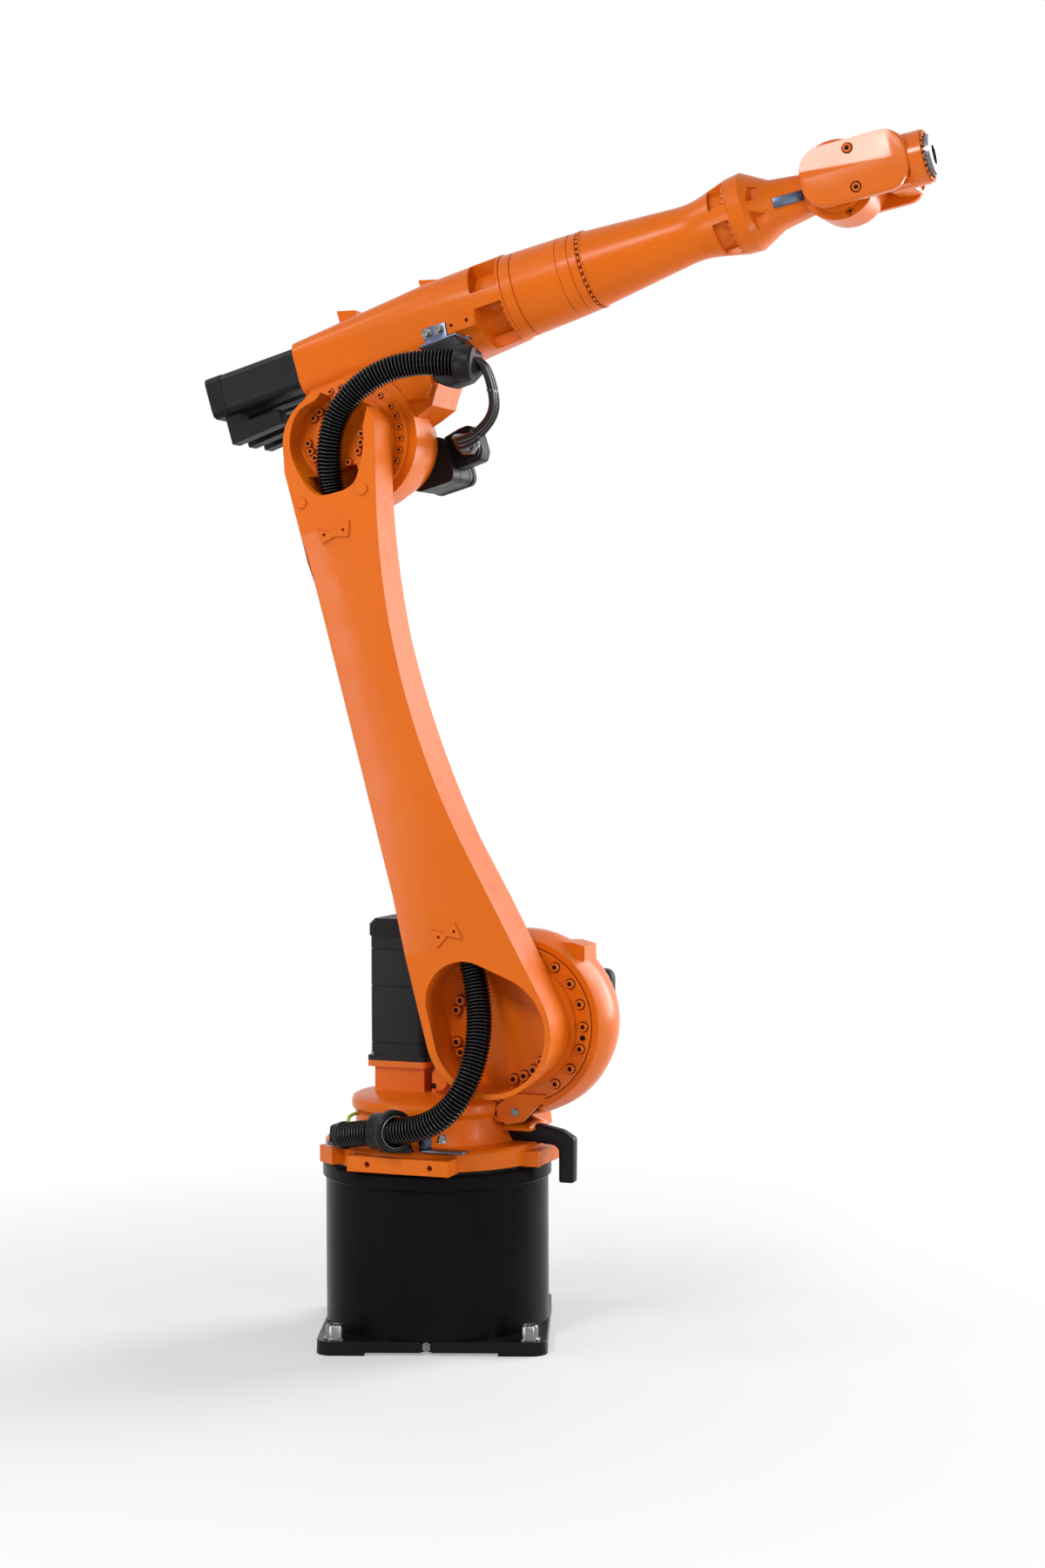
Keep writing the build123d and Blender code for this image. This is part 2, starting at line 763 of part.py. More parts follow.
with BuildPart() as far_cover:
    with BuildSketch(wrist_side.offset(-hub_far - bearing_gap)):
        add(cover_outline(0))
    extrude(amount=-(cover_far - hub_far - bearing_gap))
save(far_cover.part, "far_cover")

with BuildPart() as end_ring:
    with BuildSketch(section_plane(wrist_side, end_face - 20)):
        Circle(end_radius)
    extrude(amount=20)
save(end_ring.part, "end_ring")

with BuildPart() as tool_flange:
    with BuildSketch(section_plane(wrist_side, end_face + bearing_gap)):
        Circle(flange_radius)
        Circle(flange_bore_radius, mode=Mode.SUBTRACT)
        with PolarLocations(flange_bolt_circle / 2, 4, start_angle=45):
            Circle(flange_bolt_radius, mode=Mode.SUBTRACT)
    extrude(amount=flange_thick)
save(tool_flange.part, "tool_flange")
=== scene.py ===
"""Studio scene of the six-axis robot arm: castings, finishes, fasteners, hoses and fittings.

Lengths are in millimetres until a point is made, and Blender's are in metres.
"""

from math import acos, atan2, cos, hypot, pi, radians, sin

import bmesh
import bpy
from mathutils import Matrix, Vector


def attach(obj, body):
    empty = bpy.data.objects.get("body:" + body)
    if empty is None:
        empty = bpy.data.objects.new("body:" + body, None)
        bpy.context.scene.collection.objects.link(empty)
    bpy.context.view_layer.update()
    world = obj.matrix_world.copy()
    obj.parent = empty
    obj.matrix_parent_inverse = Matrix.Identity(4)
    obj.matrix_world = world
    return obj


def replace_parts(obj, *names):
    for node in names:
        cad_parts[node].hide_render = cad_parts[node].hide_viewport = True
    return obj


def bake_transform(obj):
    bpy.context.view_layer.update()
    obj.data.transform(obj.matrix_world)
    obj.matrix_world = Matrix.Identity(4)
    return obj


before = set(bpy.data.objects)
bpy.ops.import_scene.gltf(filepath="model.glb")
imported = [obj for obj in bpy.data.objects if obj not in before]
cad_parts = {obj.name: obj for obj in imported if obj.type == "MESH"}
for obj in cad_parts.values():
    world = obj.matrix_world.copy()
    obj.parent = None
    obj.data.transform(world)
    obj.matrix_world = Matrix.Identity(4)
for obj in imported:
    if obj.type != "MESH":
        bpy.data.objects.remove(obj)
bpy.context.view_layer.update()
MM = 0.001

# frames of the arm plane, as in the CAD source
TURN = radians(-19.3)
FORWARD = Vector((cos(TURN), sin(TURN), 0))
NEAR = Vector((sin(TURN), -cos(TURN), 0))
UP = Vector((0, 0, 1))


class Side:
    """A plane of the arm: along and up in the plane, near towards the photo's side."""

    def __init__(self, origin, pitch):
        angle = radians(pitch)
        self.along = FORWARD * cos(angle) + UP * sin(angle)
        self.up = UP * cos(angle) - FORWARD * sin(angle)
        self.origin = FORWARD * origin[0] + UP * origin[1]

    def at(self, along, up, near):
        return (self.origin + self.along * along + self.up * up + NEAR * near) * MM

    def around(self, radius, angle, near):
        return self.at(radius * cos(radians(angle)), radius * sin(radians(angle)), near)

    def section(self, along, radius, angle):
        """Point on a circle about the along axis; 0 degrees is near, 90 is up."""
        turn = radians(angle)
        return self.at(along, radius * sin(turn), radius * cos(turn))


TILT = 15.85
WRIST_TILT = 11.08
A2_PLACE = (160, 520)
LINK_LENGTH = 980
ARM_OFFSET = 150
ARM_LENGTH = 860
COLUMN = Side((0, 0), 0)
A2 = Side(A2_PLACE, 0)
LINK = Side(A2_PLACE, TILT)
a3_origin = (A2_PLACE[0] - LINK_LENGTH * sin(radians(TILT)), A2_PLACE[1] + LINK_LENGTH * cos(radians(TILT)))
A3 = Side(a3_origin, TILT)
arm_origin = (a3_origin[0] - ARM_OFFSET * sin(radians(TILT)), a3_origin[1] + ARM_OFFSET * cos(radians(TILT)))
ARM = Side(arm_origin, TILT)
a5_origin = (arm_origin[0] + ARM_LENGTH * cos(radians(TILT)), arm_origin[1] + ARM_LENGTH * sin(radians(TILT)))
A5 = Side(a5_origin, TILT)
WRIST = Side(a5_origin, WRIST_TILT)


# materials
def new_material(name):
    material = bpy.data.materials.new(name)
    material.use_nodes = True
    tree = material.node_tree
    tree.nodes.clear()
    output = tree.nodes.new("ShaderNodeOutputMaterial")
    shader = tree.nodes.new("ShaderNodeBsdfPrincipled")
    tree.links.new(shader.outputs[0], output.inputs[0])
    return material, tree, shader


def noise(tree, coords, scale, detail=2.0, roughness=0.5):
    node = tree.nodes.new("ShaderNodeTexNoise")
    node.inputs["Scale"].default_value = scale
    node.inputs["Detail"].default_value = detail
    node.inputs["Roughness"].default_value = roughness
    tree.links.new(coords, node.inputs["Vector"])
    return node.outputs["Fac"]


def ranged(tree, value, low, high, start=0.3, end=0.7):
    node = tree.nodes.new("ShaderNodeMapRange")
    tree.links.new(value, node.inputs["Value"])
    for socket, number in (("From Min", start), ("From Max", end), ("To Min", low), ("To Max", high)):
        node.inputs[socket].default_value = number
    return node.outputs["Result"]


def mixed(tree, factor, first, second):
    node = tree.nodes.new("ShaderNodeMix")
    node.data_type = "RGBA"
    tree.links.new(factor, node.inputs[0])
    node.inputs[6].default_value = (*first, 1)
    node.inputs[7].default_value = (*second, 1)
    return node.outputs[2]


def finish(name, colour, shade, roughness, grain=(), metallic=0.0, coat=0.0, edge=0.0, specular=0.5):
    """Painted, moulded or metal finish with mottled colour and gloss and a grained surface.

    grain holds (noise scale, height in metres) pairs; edge is the radius that softens edges.
    """
    material, tree, shader = new_material(name)
    coords = tree.nodes.new("ShaderNodeTexCoord").outputs["Object"]
    mottle = ranged(tree, noise(tree, coords, 9, 3), 0, 1)
    tree.links.new(mixed(tree, mottle, colour, shade), shader.inputs["Base Color"])
    gloss = ranged(tree, noise(tree, coords, 23, 3), roughness[0], roughness[1])
    tree.links.new(gloss, shader.inputs["Roughness"])
    shader.inputs["Metallic"].default_value = metallic
    shader.inputs["Coat Weight"].default_value = coat
    shader.inputs["Coat Roughness"].default_value = 0.12
    shader.inputs["Specular IOR Level"].default_value = specular
    normal = None
    if edge:
        bevel = tree.nodes.new("ShaderNodeBevel")
        bevel.samples = 4
        bevel.inputs["Radius"].default_value = edge
        normal = bevel.outputs[0]
    for scale, height in grain:
        bump = tree.nodes.new("ShaderNodeBump")
        bump.inputs["Distance"].default_value = height
        bump.inputs["Strength"].default_value = 1.0
        tree.links.new(noise(tree, coords, scale, 2), bump.inputs["Height"])
        if normal is not None:
            tree.links.new(normal, bump.inputs["Normal"])
        normal = bump.outputs[0]
    if normal is not None:
        tree.links.new(normal, shader.inputs["Normal"])
    return material


CAST_GRAIN = ((420, 0.00010), (95, 0.0002))
orange = finish(
    "orange_cast", (0.70, 0.137, 0.0035), (0.67, 0.126, 0.003), (0.26, 0.36), CAST_GRAIN,
    coat=0.05, edge=0.0022, specular=0.15,
)
orange_smooth = finish(
    "orange_turned", (0.70, 0.137, 0.0035), (0.68, 0.130, 0.003), (0.17, 0.23), ((300, 0.00003),),
    coat=0.15, edge=0.0008, specular=0.24,
)
black_paint = finish(
    "black_base", (0.0045, 0.0042, 0.0052), (0.006, 0.0056, 0.0066), (0.20, 0.26), ((260, 0.00003),),
    edge=0.0015, specular=0.04,
)
black_plate = finish(
    "black_plate", (0.004, 0.004, 0.0045), (0.007, 0.0067, 0.007), (0.26, 0.34), ((160, 0.0001),),
    edge=0.002, specular=0.12,
)
motor_black = finish(
    "motor_black", (0.012, 0.0125, 0.0145), (0.0095, 0.010, 0.012), (0.34, 0.42), ((700, 0.00003),),
    edge=0.0012, specular=0.12,
)
motor_cap = finish(
    "motor_cap_black", (0.010, 0.0105, 0.012), (0.008, 0.0085, 0.0095), (0.40, 0.48), ((500, 0.00005),),
    edge=0.0015, specular=0.10,
)
hose_black = finish(
    "hose_black", (0.0022, 0.0021, 0.0025), (0.0034, 0.0032, 0.0038), (0.15, 0.20), specular=0.38,
)
# painted shade: near-black, dull material for the hose's grooves, standing for the shade deep in them
hose_groove_shade = finish(
    "hose_groove_shade", (0.0008, 0.0008, 0.0009), (0.0012, 0.0012, 0.0013), (0.5, 0.6), specular=0.02,
)
rubber = finish(
    "clamp_black", (0.010, 0.010, 0.0115), (0.0075, 0.0075, 0.0085), (0.34, 0.42), ((600, 0.00004),),
    edge=0.0015, specular=0.12,
)
cable_black = finish(
    "cable_black", (0.006, 0.006, 0.0065), (0.009, 0.009, 0.0095), (0.30, 0.40), specular=0.3,
)
zinc = finish(
    "zinc_steel", (0.085, 0.105, 0.155), (0.055, 0.068, 0.10), (0.28, 0.40), ((240, 0.00003),),
    metallic=1.0, edge=0.0004,
)
steel = finish(
    "machined_steel", (0.25, 0.25, 0.26), (0.17, 0.17, 0.18), (0.20, 0.32), ((500, 0.00002),),
    metallic=1.0, edge=0.0005,
)
# painted shade: near-black brown for the dark discs in screw sockets, the dark rings round screw heads and
# the flat discs of empty holes
painted_recess_shade = finish("painted_recess_shade", (0.006, 0.003, 0.0015), (0.009, 0.004, 0.002), (0.6, 0.7), specular=0.1)
earth_green = finish("earth_wire", (0.55, 0.62, 0.03), (0.30, 0.50, 0.03), (0.35, 0.45))

NODE_FINISHES = {
    orange: ("column_flange", "column_casting", "link_arm", "arm_housing", "a4_gearbox", "a4_output",
             "arm_tube", "wrist_housing", "wrist_body", "near_cover", "far_cover"),
    orange_smooth: ("a1_motor_plate", "a2_gear_ring", "a3_gear_ring", "end_ring"),
    black_paint: ("base_cylinder", "base_collar"),
    black_plate: ("base_plate",),
    rubber: ("base_seal", "stop_bar", "lower_hose_clamp", "upper_hose_clamp", "hose_end_fitting"),
    motor_black: ("a1_motor", "a2_motor", "a3_motor", "motor_a4", "motor_a5", "motor_a6"),
    motor_cap: ("a1_motor_cap", "a2_motor_cap", "a3_motor_cap", "rear_motor_caps", "a3_motor_plug",
                "rear_motor_plugs"),
    cable_black: ("arm_cables",),
    zinc: ("lower_clamp_bracket", "upper_clamp_bracket"),
    steel: ("tool_flange",),
}
for material, names in NODE_FINISHES.items():
    for name in names:
        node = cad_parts[name]
        node.data.materials.clear()
        node.data.materials.append(material)


# mesh helpers
def piece(name, bm, body, material, sharp=35):
    """Turns a bmesh into a piece that rides on a body."""
    mesh = bpy.data.meshes.new(name)
    bmesh.ops.recalc_face_normals(bm, faces=bm.faces)
    bm.to_mesh(mesh)
    bm.free()
    mesh.polygons.foreach_set("use_smooth", [True] * len(mesh.polygons))
    mesh.set_sharp_from_angle(angle=radians(sharp))
    mesh.materials.append(material)
    made = bpy.data.objects.new(name, mesh)
    bpy.context.scene.collection.objects.link(made)
    if body:
        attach(made, body)
    return made


def turned(bm, place, axis, profile, sides=24):
    """Adds a turned form. A negative radius is half a hexagon's width across its flats."""
    matrix = axis.normalized().to_track_quat("Z", "Y").to_matrix().to_4x4()
    matrix.translation = place
    rings = []
    for radius, height in profile:
        if radius == 0:
            rings.append([bm.verts.new(matrix @ Vector((0, 0, height * MM)))])
            continue
        ring = []
        for step in range(sides):
            angle = 2 * pi * step / sides
            reach = radius if radius > 0 else -radius / cos(angle % (pi / 3) - pi / 6)
            point = Vector((reach * cos(angle) * MM, reach * sin(angle) * MM, height * MM))
            ring.append(bm.verts.new(matrix @ point))
        rings.append(ring)
    for low, high in zip(rings, rings[1:]):
        for step in range(sides):
            after = (step + 1) % sides
            corners = (
                low[step % len(low)], low[after % len(low)], high[after % len(high)], high[step % len(high)],
            )
            bm.faces.new(list(dict.fromkeys(corners)))


# cap screws whose sockets and head rings get painted shade
screws_to_shade = []


def cap_screw(bm, place, axis, radius, height):
    """Socket head cap screw seen from its head, noted for the painted shade of its socket and of the ring
    round its head.
    """
    socket = radius * 0.5
    screws_to_shade.append((place, axis, radius, height))
    turned(bm, place, axis, (
        (0, -3), (radius, -3), (radius, height * 0.84), (radius * 0.9, height),
        (-socket, height), (-socket * 0.98, height - 1.6), (0, height - 1.7),
    ))


def screw_shade_piece(name, body):
    """Painted shade of the noted cap screws: dark discs in their sockets and dark rings round their heads;
    bright steel ones are cleared instead.
    """
    bm = bmesh.new()
    for place, axis, radius, height in screws_to_shade:
        shade_radius = radius * 1.2
        flats = -radius * 0.49
        low, high = height - 1.8, height - 1.2
        # dark ring just under and round the head: painted shadow of a counterbore
        turned(bm, place, axis, ((0, -0.2), (shade_radius, -0.2), (shade_radius, 0.3), (0, 0.3)))
        # dark hexagon inside the socket: painted shade
        turned(bm, place, axis, ((0, low), (flats, low), (flats, high), (0, high)))
    screws_to_shade.clear()
    return piece(name, bm, body, painted_recess_shade)


def hex_screw(bm, place, axis, radius, height):
    turned(bm, place, axis, (
        (0, -0.4), (radius * 1.35, -0.4), (radius * 1.35, height * 0.25), (-radius * 0.92, height * 0.25),
        (-radius * 0.92, height * 0.9), (-radius * 0.8, height), (0, height),
    ))


def washer(bm, place, axis, radius, thick):
    turned(bm, place, axis, (
        (0, -0.3), (radius, -0.3), (radius, thick * 0.8), (radius * 0.97, thick), (0, thick),
    ), 40)


def slab(bm, side, outline, near, bevel=1.5, segments=2):
    """Adds a polygon of the side plane, extruded between two near distances, with rounded edges."""
    part = bmesh.new()
    low = [part.verts.new(side.at(a, b, near[0])) for a, b in outline]
    high = [part.verts.new(side.at(a, b, near[1])) for a, b in outline]
    part.faces.new(low[::-1])
    part.faces.new(high)
    for step in range(len(low)):
        after = (step + 1) % len(low)
        part.faces.new((low[step], low[after], high[after], high[step]))
    bmesh.ops.recalc_face_normals(part, faces=part.faces)
    if bevel:
        bmesh.ops.bevel(
            part, geom=list(part.edges), offset=bevel * MM, segments=segments, affect="EDGES", profile=0.5,
        )
    mesh = bpy.data.meshes.new("part")
    part.to_mesh(mesh)
    part.free()
    bm.from_mesh(mesh)
    bpy.data.meshes.remove(mesh)


def rectangle(left, bottom, right, top):
    return ((left, bottom), (right, bottom), (right, top), (left, top))


def centreline(name, points):
    """Points along a smooth NURBS line with the given control points."""
    curve = bpy.data.curves.new(name, "CURVE")
    curve.dimensions = "3D"
    spline = curve.splines.new("NURBS")
    spline.points.add(len(points) - 1)
    for point, place in zip(spline.points, points):
        point.co = (*place, 1)
    spline.order_u = 3
    spline.use_endpoint_u = True
    spline.resolution_u = 16
    holder = bpy.data.objects.new(name, curve)
    bpy.context.scene.collection.objects.link(holder)
    bpy.context.view_layer.update()
    mesh = bpy.data.meshes.new_from_object(holder)
    line = [vertex.co.copy() for vertex in mesh.vertices]
    bpy.data.objects.remove(holder)
    bpy.data.curves.remove(curve)
    bpy.data.meshes.remove(mesh)
    return line


def evenly(line, step):
    """The line's points at equal steps along it."""
    lengths = [0.0]
    for first, second in zip(line, line[1:]):
        lengths.append(lengths[-1] + (second - first).length)
    count = max(2, round(lengths[-1] / step))
    places = []
    index = 0
    for number in range(count + 1):
        wanted = lengths[-1] * number / count
        while index < len(line) - 2 and lengths[index + 1] < wanted:
            index += 1
        share = (wanted - lengths[index]) / max(lengths[index + 1] - lengths[index], 1e-9)
        places.append(line[index].lerp(line[index + 1], min(1.0, share)))
    return places


def swept(bm, places, radii, sides=28):
    """Round tube through the places, each ring with its own radius, closed at both ends."""
    normal = None
    rings = []
    for number, (place, radius) in enumerate(zip(places, radii)):
        before = places[max(number - 1, 0)]
        after = places[min(number + 1, len(places) - 1)]
        direction = (after - before).normalized()
        if normal is None:
            normal = direction.orthogonal().normalized()
        normal = (normal - direction * normal.dot(direction)).normalized()
        other = direction.cross(normal)
        rings.append([
            bm.verts.new(
                place + (normal * cos(2 * pi * step / sides) + other * sin(2 * pi * step / sides)) * radius
            )
            for step in range(sides)
        ])
    bm.faces.new(rings[0][::-1])
    bm.faces.new(rings[-1])
    for low, high in zip(rings, rings[1:]):
        for step in range(sides):
            after = (step + 1) % sides
            bm.faces.new((low[step], low[after], high[after], high[step]))


# solids for the castings: outlines, lofts and cuts
def mesh_from(bm):
    bmesh.ops.remove_doubles(bm, verts=bm.verts, dist=1e-6)
    bmesh.ops.recalc_face_normals(bm, faces=bm.faces)
    mesh = bpy.data.meshes.new("part")
    bm.to_mesh(mesh)
    bm.free()
    return mesh


def loft(sections):
    """Closed skin over sections with the same number of points each."""
    bm = bmesh.new()
    rings = [[bm.verts.new(point) for point in section] for section in sections]
    bm.faces.new(rings[0][::-1])
    bm.faces.new(rings[-1])
    for low, high in zip(rings, rings[1:]):
        for step in range(len(low)):
            after = (step + 1) % len(low)
            bm.faces.new((low[step], low[after], high[after], high[step]))
    return mesh_from(bm)


def prism(side, outline, near_low, near_high):
    return loft([[side.at(a, b, near) for a, b in outline] for near in (near_low, near_high)])


def lathe(side, axis, profile, centre=(0, 0), sides=128):
    """Solid turned about the side's near or along axis from (height, radius) pairs."""
    bm = bmesh.new()
    turned(bm, side.at(*centre, 0), axis, [(radius, height) for height, radius in profile], sides)
    return mesh_from(bm)


def combined(base, tools, operation):
    """The base mesh with the tool meshes added to it or cut away from it."""
    made = []
    for mesh in [base] + tools:
        holder = bpy.data.objects.new("solid", mesh)
        bpy.context.scene.collection.objects.link(holder)
        made.append(holder)
    for tool in made[1:]:
        modifier = made[0].modifiers.new("step", "BOOLEAN")
        modifier.operation = operation
        modifier.solver = "EXACT"
        modifier.object = tool
    bpy.context.view_layer.update()
    shown = made[0].evaluated_get(bpy.context.evaluated_depsgraph_get())
    result = bpy.data.meshes.new_from_object(shown)
    for holder in made:
        bpy.data.objects.remove(holder)
    for mesh in [base] + tools:
        bpy.data.meshes.remove(mesh)
    return result


def cast(name, mesh, body, material, replaced, sharp=28):
    """Piece from a solid's mesh, standing for CAD nodes."""
    bm = bmesh.new()
    bm.from_mesh(mesh)
    bpy.data.meshes.remove(mesh)
    bmesh.ops.remove_doubles(bm, verts=bm.verts, dist=2e-6)
    bmesh.ops.dissolve_degenerate(bm, edges=bm.edges, dist=2e-6)
    made = piece(name, bm, body, material, sharp)
    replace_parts(made, replaced)
    return made


def arc(start, through, end, count):
    """Points of the arc through three points, without its end."""
    ax, ay = start
    bx, by = through
    cx, cy = end
    d = 2 * (ax * (by - cy) + bx * (cy - ay) + cx * (ay - by))
    ux = (
        (ax * ax + ay * ay) * (by - cy) + (bx * bx + by * by) * (cy - ay) + (cx * cx + cy * cy) * (ay - by)
    ) / d
    uy = (
        (ax * ax + ay * ay) * (cx - bx) + (bx * bx + by * by) * (ax - cx) + (cx * cx + cy * cy) * (bx - ax)
    ) / d
    radius = hypot(ax - ux, ay - uy)
    first = atan2(ay - uy, ax - ux)
    middle = (atan2(by - uy, bx - ux) - first) % (2 * pi)
    last = (atan2(cy - uy, cx - ux) - first) % (2 * pi)
    if middle > last:
        last -= 2 * pi
    angles = [first + last * k / count for k in range(count)]
    return [(ux + radius * cos(angle), uy + radius * sin(angle)) for angle in angles]


def disc(radius, centre=(0, 0), count=64):
    angles = [2 * pi * k / count for k in range(count)]
    return [(centre[0] + radius * cos(angle), centre[1] + radius * sin(angle)) for angle in angles]


def rounded(width, height, radius, centre=(0, 0), steps=16):
    """Rounded rectangle whose corners have the same number of points at any radius."""
    points = []
    for corner, (sign_x, sign_y) in enumerate(((1, 1), (-1, 1), (-1, -1), (1, -1))):
        for step in range(steps):
            angle = pi / 2 * (corner + step / (steps - 1))
            points.append((
                centre[0] + sign_x * (width / 2 - radius) + radius * cos(angle),
                centre[1] + sign_y * (height / 2 - radius) + radius * sin(angle),
            ))
    return points


def across(side, along, outline):
    """Section of the side plane: outline's x to the far side, y up."""
    return [side.at(along, y, -x) for x, y in outline]


def sector(inner, outer, angles, count=14):
    """Piece of a ring between two angles counted from near towards up, as far and up points."""
    spread = [radians(angles[0] + (angles[1] - angles[0]) * k / count) for k in range(count + 1)]
    ring = [(-inner * cos(a), inner * sin(a)) for a in spread]
    return ring + [(-outer * cos(a), outer * sin(a)) for a in spread[::-1]]


def closed_spline(points, count=5):
    """Smooth closed line through the points."""
    line = []
    total = len(points)
    for k in range(total):
        p0, p1, p2, p3 = (points[(k + shift) % total] for shift in (-1, 0, 1, 2))
        for step in range(count):
            t = step / count
            line.append(tuple(
                0.5 * (
                    2 * b + (c - a) * t + (2 * a - 5 * b + 4 * c - d) * t * t
                    + (3 * b - a - 3 * c + d) * t ** 3
                )
                for a, b, c, d in zip(p0, p1, p2, p3)
            ))
    return line


# corrugated hoses along the CAD routes
HOSE_RADIUS = 20.5
HOSE_SIDES = 28
HOSE_ROOM = 22.5
RIB_PITCH = 5.7
RIB_PROFILE = (0.83, 0.83, 0.92, 1.0, 1.015, 1.0, 0.92, 0.83)
# rings of each rib whose faces get the painted shade of the grooves
GROOVE_SHADE_RINGS = (0, 1, 6, 7)


def corrugated(name, points, body):
    places = evenly(centreline(name, points), RIB_PITCH * MM / len(RIB_PROFILE))
    radii = [HOSE_RADIUS * RIB_PROFILE[number % len(RIB_PROFILE)] * MM for number in range(len(places))]
    bm = bmesh.new()
    swept(bm, places, radii, HOSE_SIDES)
    made = piece(name, bm, body, hose_black, sharp=80)
    # groove faces take the second material: painted shade in the grooves
    made.data.materials.append(hose_groove_shade)
    for face in made.data.polygons:
        ring = min(face.vertices) // HOSE_SIDES
        if len(face.vertices) == 4 and ring % len(RIB_PROFILE) in GROOVE_SHADE_RINGS:
            face.material_index = 1
    return made


tunnel_low = LINK.at(-11, 190, 143)
tunnel_middle = LINK.at(-22, 535, 151)
tunnel_high = LINK.at(-27, 850, 157)
low_entry = tunnel_low + (tunnel_low - tunnel_middle).normalized() * 80 * MM
high_exit = tunnel_high + (tunnel_high - tunnel_middle).normalized() * 45 * MM
lower_route = [COLUMN.at(*point) for point in (
    (-84, 346, 180), (-36, 356, 196), (54, 366, 211), (104, 392, 211), (135, 440, 200), (145, 498, 176),
    (139, 556, 154),
)] + [low_entry, tunnel_low]
upper_route = [tunnel_high, high_exit] + [ARM.at(*point) for point in (
    (-12, -180, 174), (18, -126, 179), (66, -92, 177), (128, -77, 168), (190, -87, 156), (244, -107, 146),
)]
lower_hose = corrugated("lower_hose_ribbed", lower_route, None)
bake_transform(lower_hose)
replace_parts(lower_hose, "lower_hose")
inner_hose = corrugated("inner_hose_ribbed", [tunnel_low, tunnel_middle, tunnel_high], "link")
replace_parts(inner_hose, "hose_in_link")
upper_hose = corrugated("upper_hose_ribbed", upper_route, None)
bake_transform(upper_hose)
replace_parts(upper_hose, "upper_hose")


# link arm: drafted casting with a crease, two pockets and the hose's tunnel
def tangent_point(radius, point):
    angle = atan2(point[1], point[0]) - acos(radius / hypot(*point))
    return (radius * cos(angle), radius * sin(angle))


def link_outline(inset):
    low = 107 - inset
    right = tangent_point(low, (41 - 0.8 * inset, 305))
    left = tangent_point(low, (100 - inset, 240))
    left = (-left[0], left[1])
    high_right = (62 - inset, 1022)
    high_left = (-76 + inset, 990)
    neck = (60 - inset, 874)
    return (
        arc(left, (0, -low), right, 48) + [right]
        + arc((41 - 0.8 * inset, 305), (16 - 0.2 * inset, 545), neck, 40) + [neck]
        + [(88 - inset, 978), (82 - inset, 1004)]
        + arc(high_right, (-2, 1048 - inset), high_left, 24) + [high_left]
        + [(-86 + inset, 944), (-89 + inset, 700), (-100 + inset, 240)]
    )


def near_face(along):
    return 175 + 15 * (along + 200) / 1380


LOWER_POCKET_FLOOR = 105
UPPER_POCKET_FLOOR = 149.5
UPPER_RIM = (
    (-64, 8), (-68, -18), (-64, -50), (-57, -77), (-44, -92), (-20, -96), (8, -96), (30, -87), (47, -62),
    (60, -35), (68, -5), (84, 23), (110, 70), (60, 110), (20, 80), (2, 61), (-32, 53), (-52, 34),
)
UPPER_FLOOR = (
    (-61, 8), (-61, -16), (-52, -40), (-40, -62), (-27, -76), (-8, -82), (10, -82), (24, -76), (38, -56),
    (53, -31), (63, -3), (80, 28), (105, 75), (60, 100), (20, 70), (0, 57), (-28, 50), (-48, 32),
)
BOW_TIES = (
    ((-45, 178), (-24, 168), (-3, 181), (2, 152), (-21, 163), (-43, 149)),
    ((-57, 842), (-35, 829), (2, 838), (-6, 814), (-30, 821), (-52, 816)),
)
link_body = loft([
    [LINK.at(a, b, near) for a, b in link_outline(inset)] for near, inset in ((64.5, 12), (192, 0))
])
near_wedge = loft([
    [LINK.at(a, b, near) for near, b in (
        (near_face(-300), -300), (near_face(1300), 1300), (320, 1300), (320, -300),
    )]
    for a in (-300, 300)
])
far_wedge = loft([
    [LINK.at(a, b, near) for near, b in ((101.5, 1300), (101.5, 640), (64.5, 200), (20, 200), (20, 1300))]
    for a in (-300, 300)
])
lower_pocket_hull = bmesh.new()
for near in (LOWER_POCKET_FLOOR, 300):
    for a, b in disc(94, (2, -3), 96) + disc(65, (-25, 55), 72):
        lower_pocket_hull.verts.new(LINK.at(a, b, near))
hull = bmesh.ops.convex_hull(lower_pocket_hull, input=lower_pocket_hull.verts)
inside = [item for item in hull["geom_interior"] if isinstance(item, bmesh.types.BMVert)]
bmesh.ops.delete(lower_pocket_hull, geom=inside, context="VERTS")
crease = loft([
    [LINK.at(a, along, near) for a, near in (
        (-46, near_face(along)), (-140, near_face(along) - drop), (-140, 260), (-46, 260),
    )]
    for along, drop in ((150, 0.3), (330, 12), (760, 12), (840, 0.3))
])
upper_pocket = loft([
    [LINK.at(a, LINK_LENGTH + b, near) for a, b in closed_spline(points)]
    for near, points in ((152, UPPER_FLOOR), (200, UPPER_RIM))
])


def tube_mesh(name, points, radius):
    places = evenly(centreline(name, points), 12 * MM)
    bm = bmesh.new()
    swept(bm, places, [radius * MM] * len(places), 40)
    return mesh_from(bm)


link_cuts = [
    near_wedge, far_wedge, mesh_from(lower_pocket_hull), crease, upper_pocket,
    prism(LINK, disc(59, (0, LINK_LENGTH), 96), UPPER_POCKET_FLOOR, 158),
    prism(LINK, rectangle(-54, 850, 24, 928), 122, 178),
    tube_mesh("tunnel", [low_entry, tunnel_middle, high_exit], 25),
    tube_mesh("lower_room", lower_route[-5:], HOSE_ROOM),
    tube_mesh("upper_room", upper_route[:6], HOSE_ROOM),
]
link_body = combined(link_body, link_cuts, "DIFFERENCE")
link_adds = [
    prism(LINK, disc(103, (0, 0), 96), 52.5, 65.1), prism(LINK, disc(76, (0, LINK_LENGTH), 96), 89.5, 102.1),
]
for a, b, radius in ((-71, 890, 9), (36, 880, 10)):
    link_adds.append(prism(LINK, disc(radius, (a, b), 32), near_face(b) - 8, near_face(b) + 3))
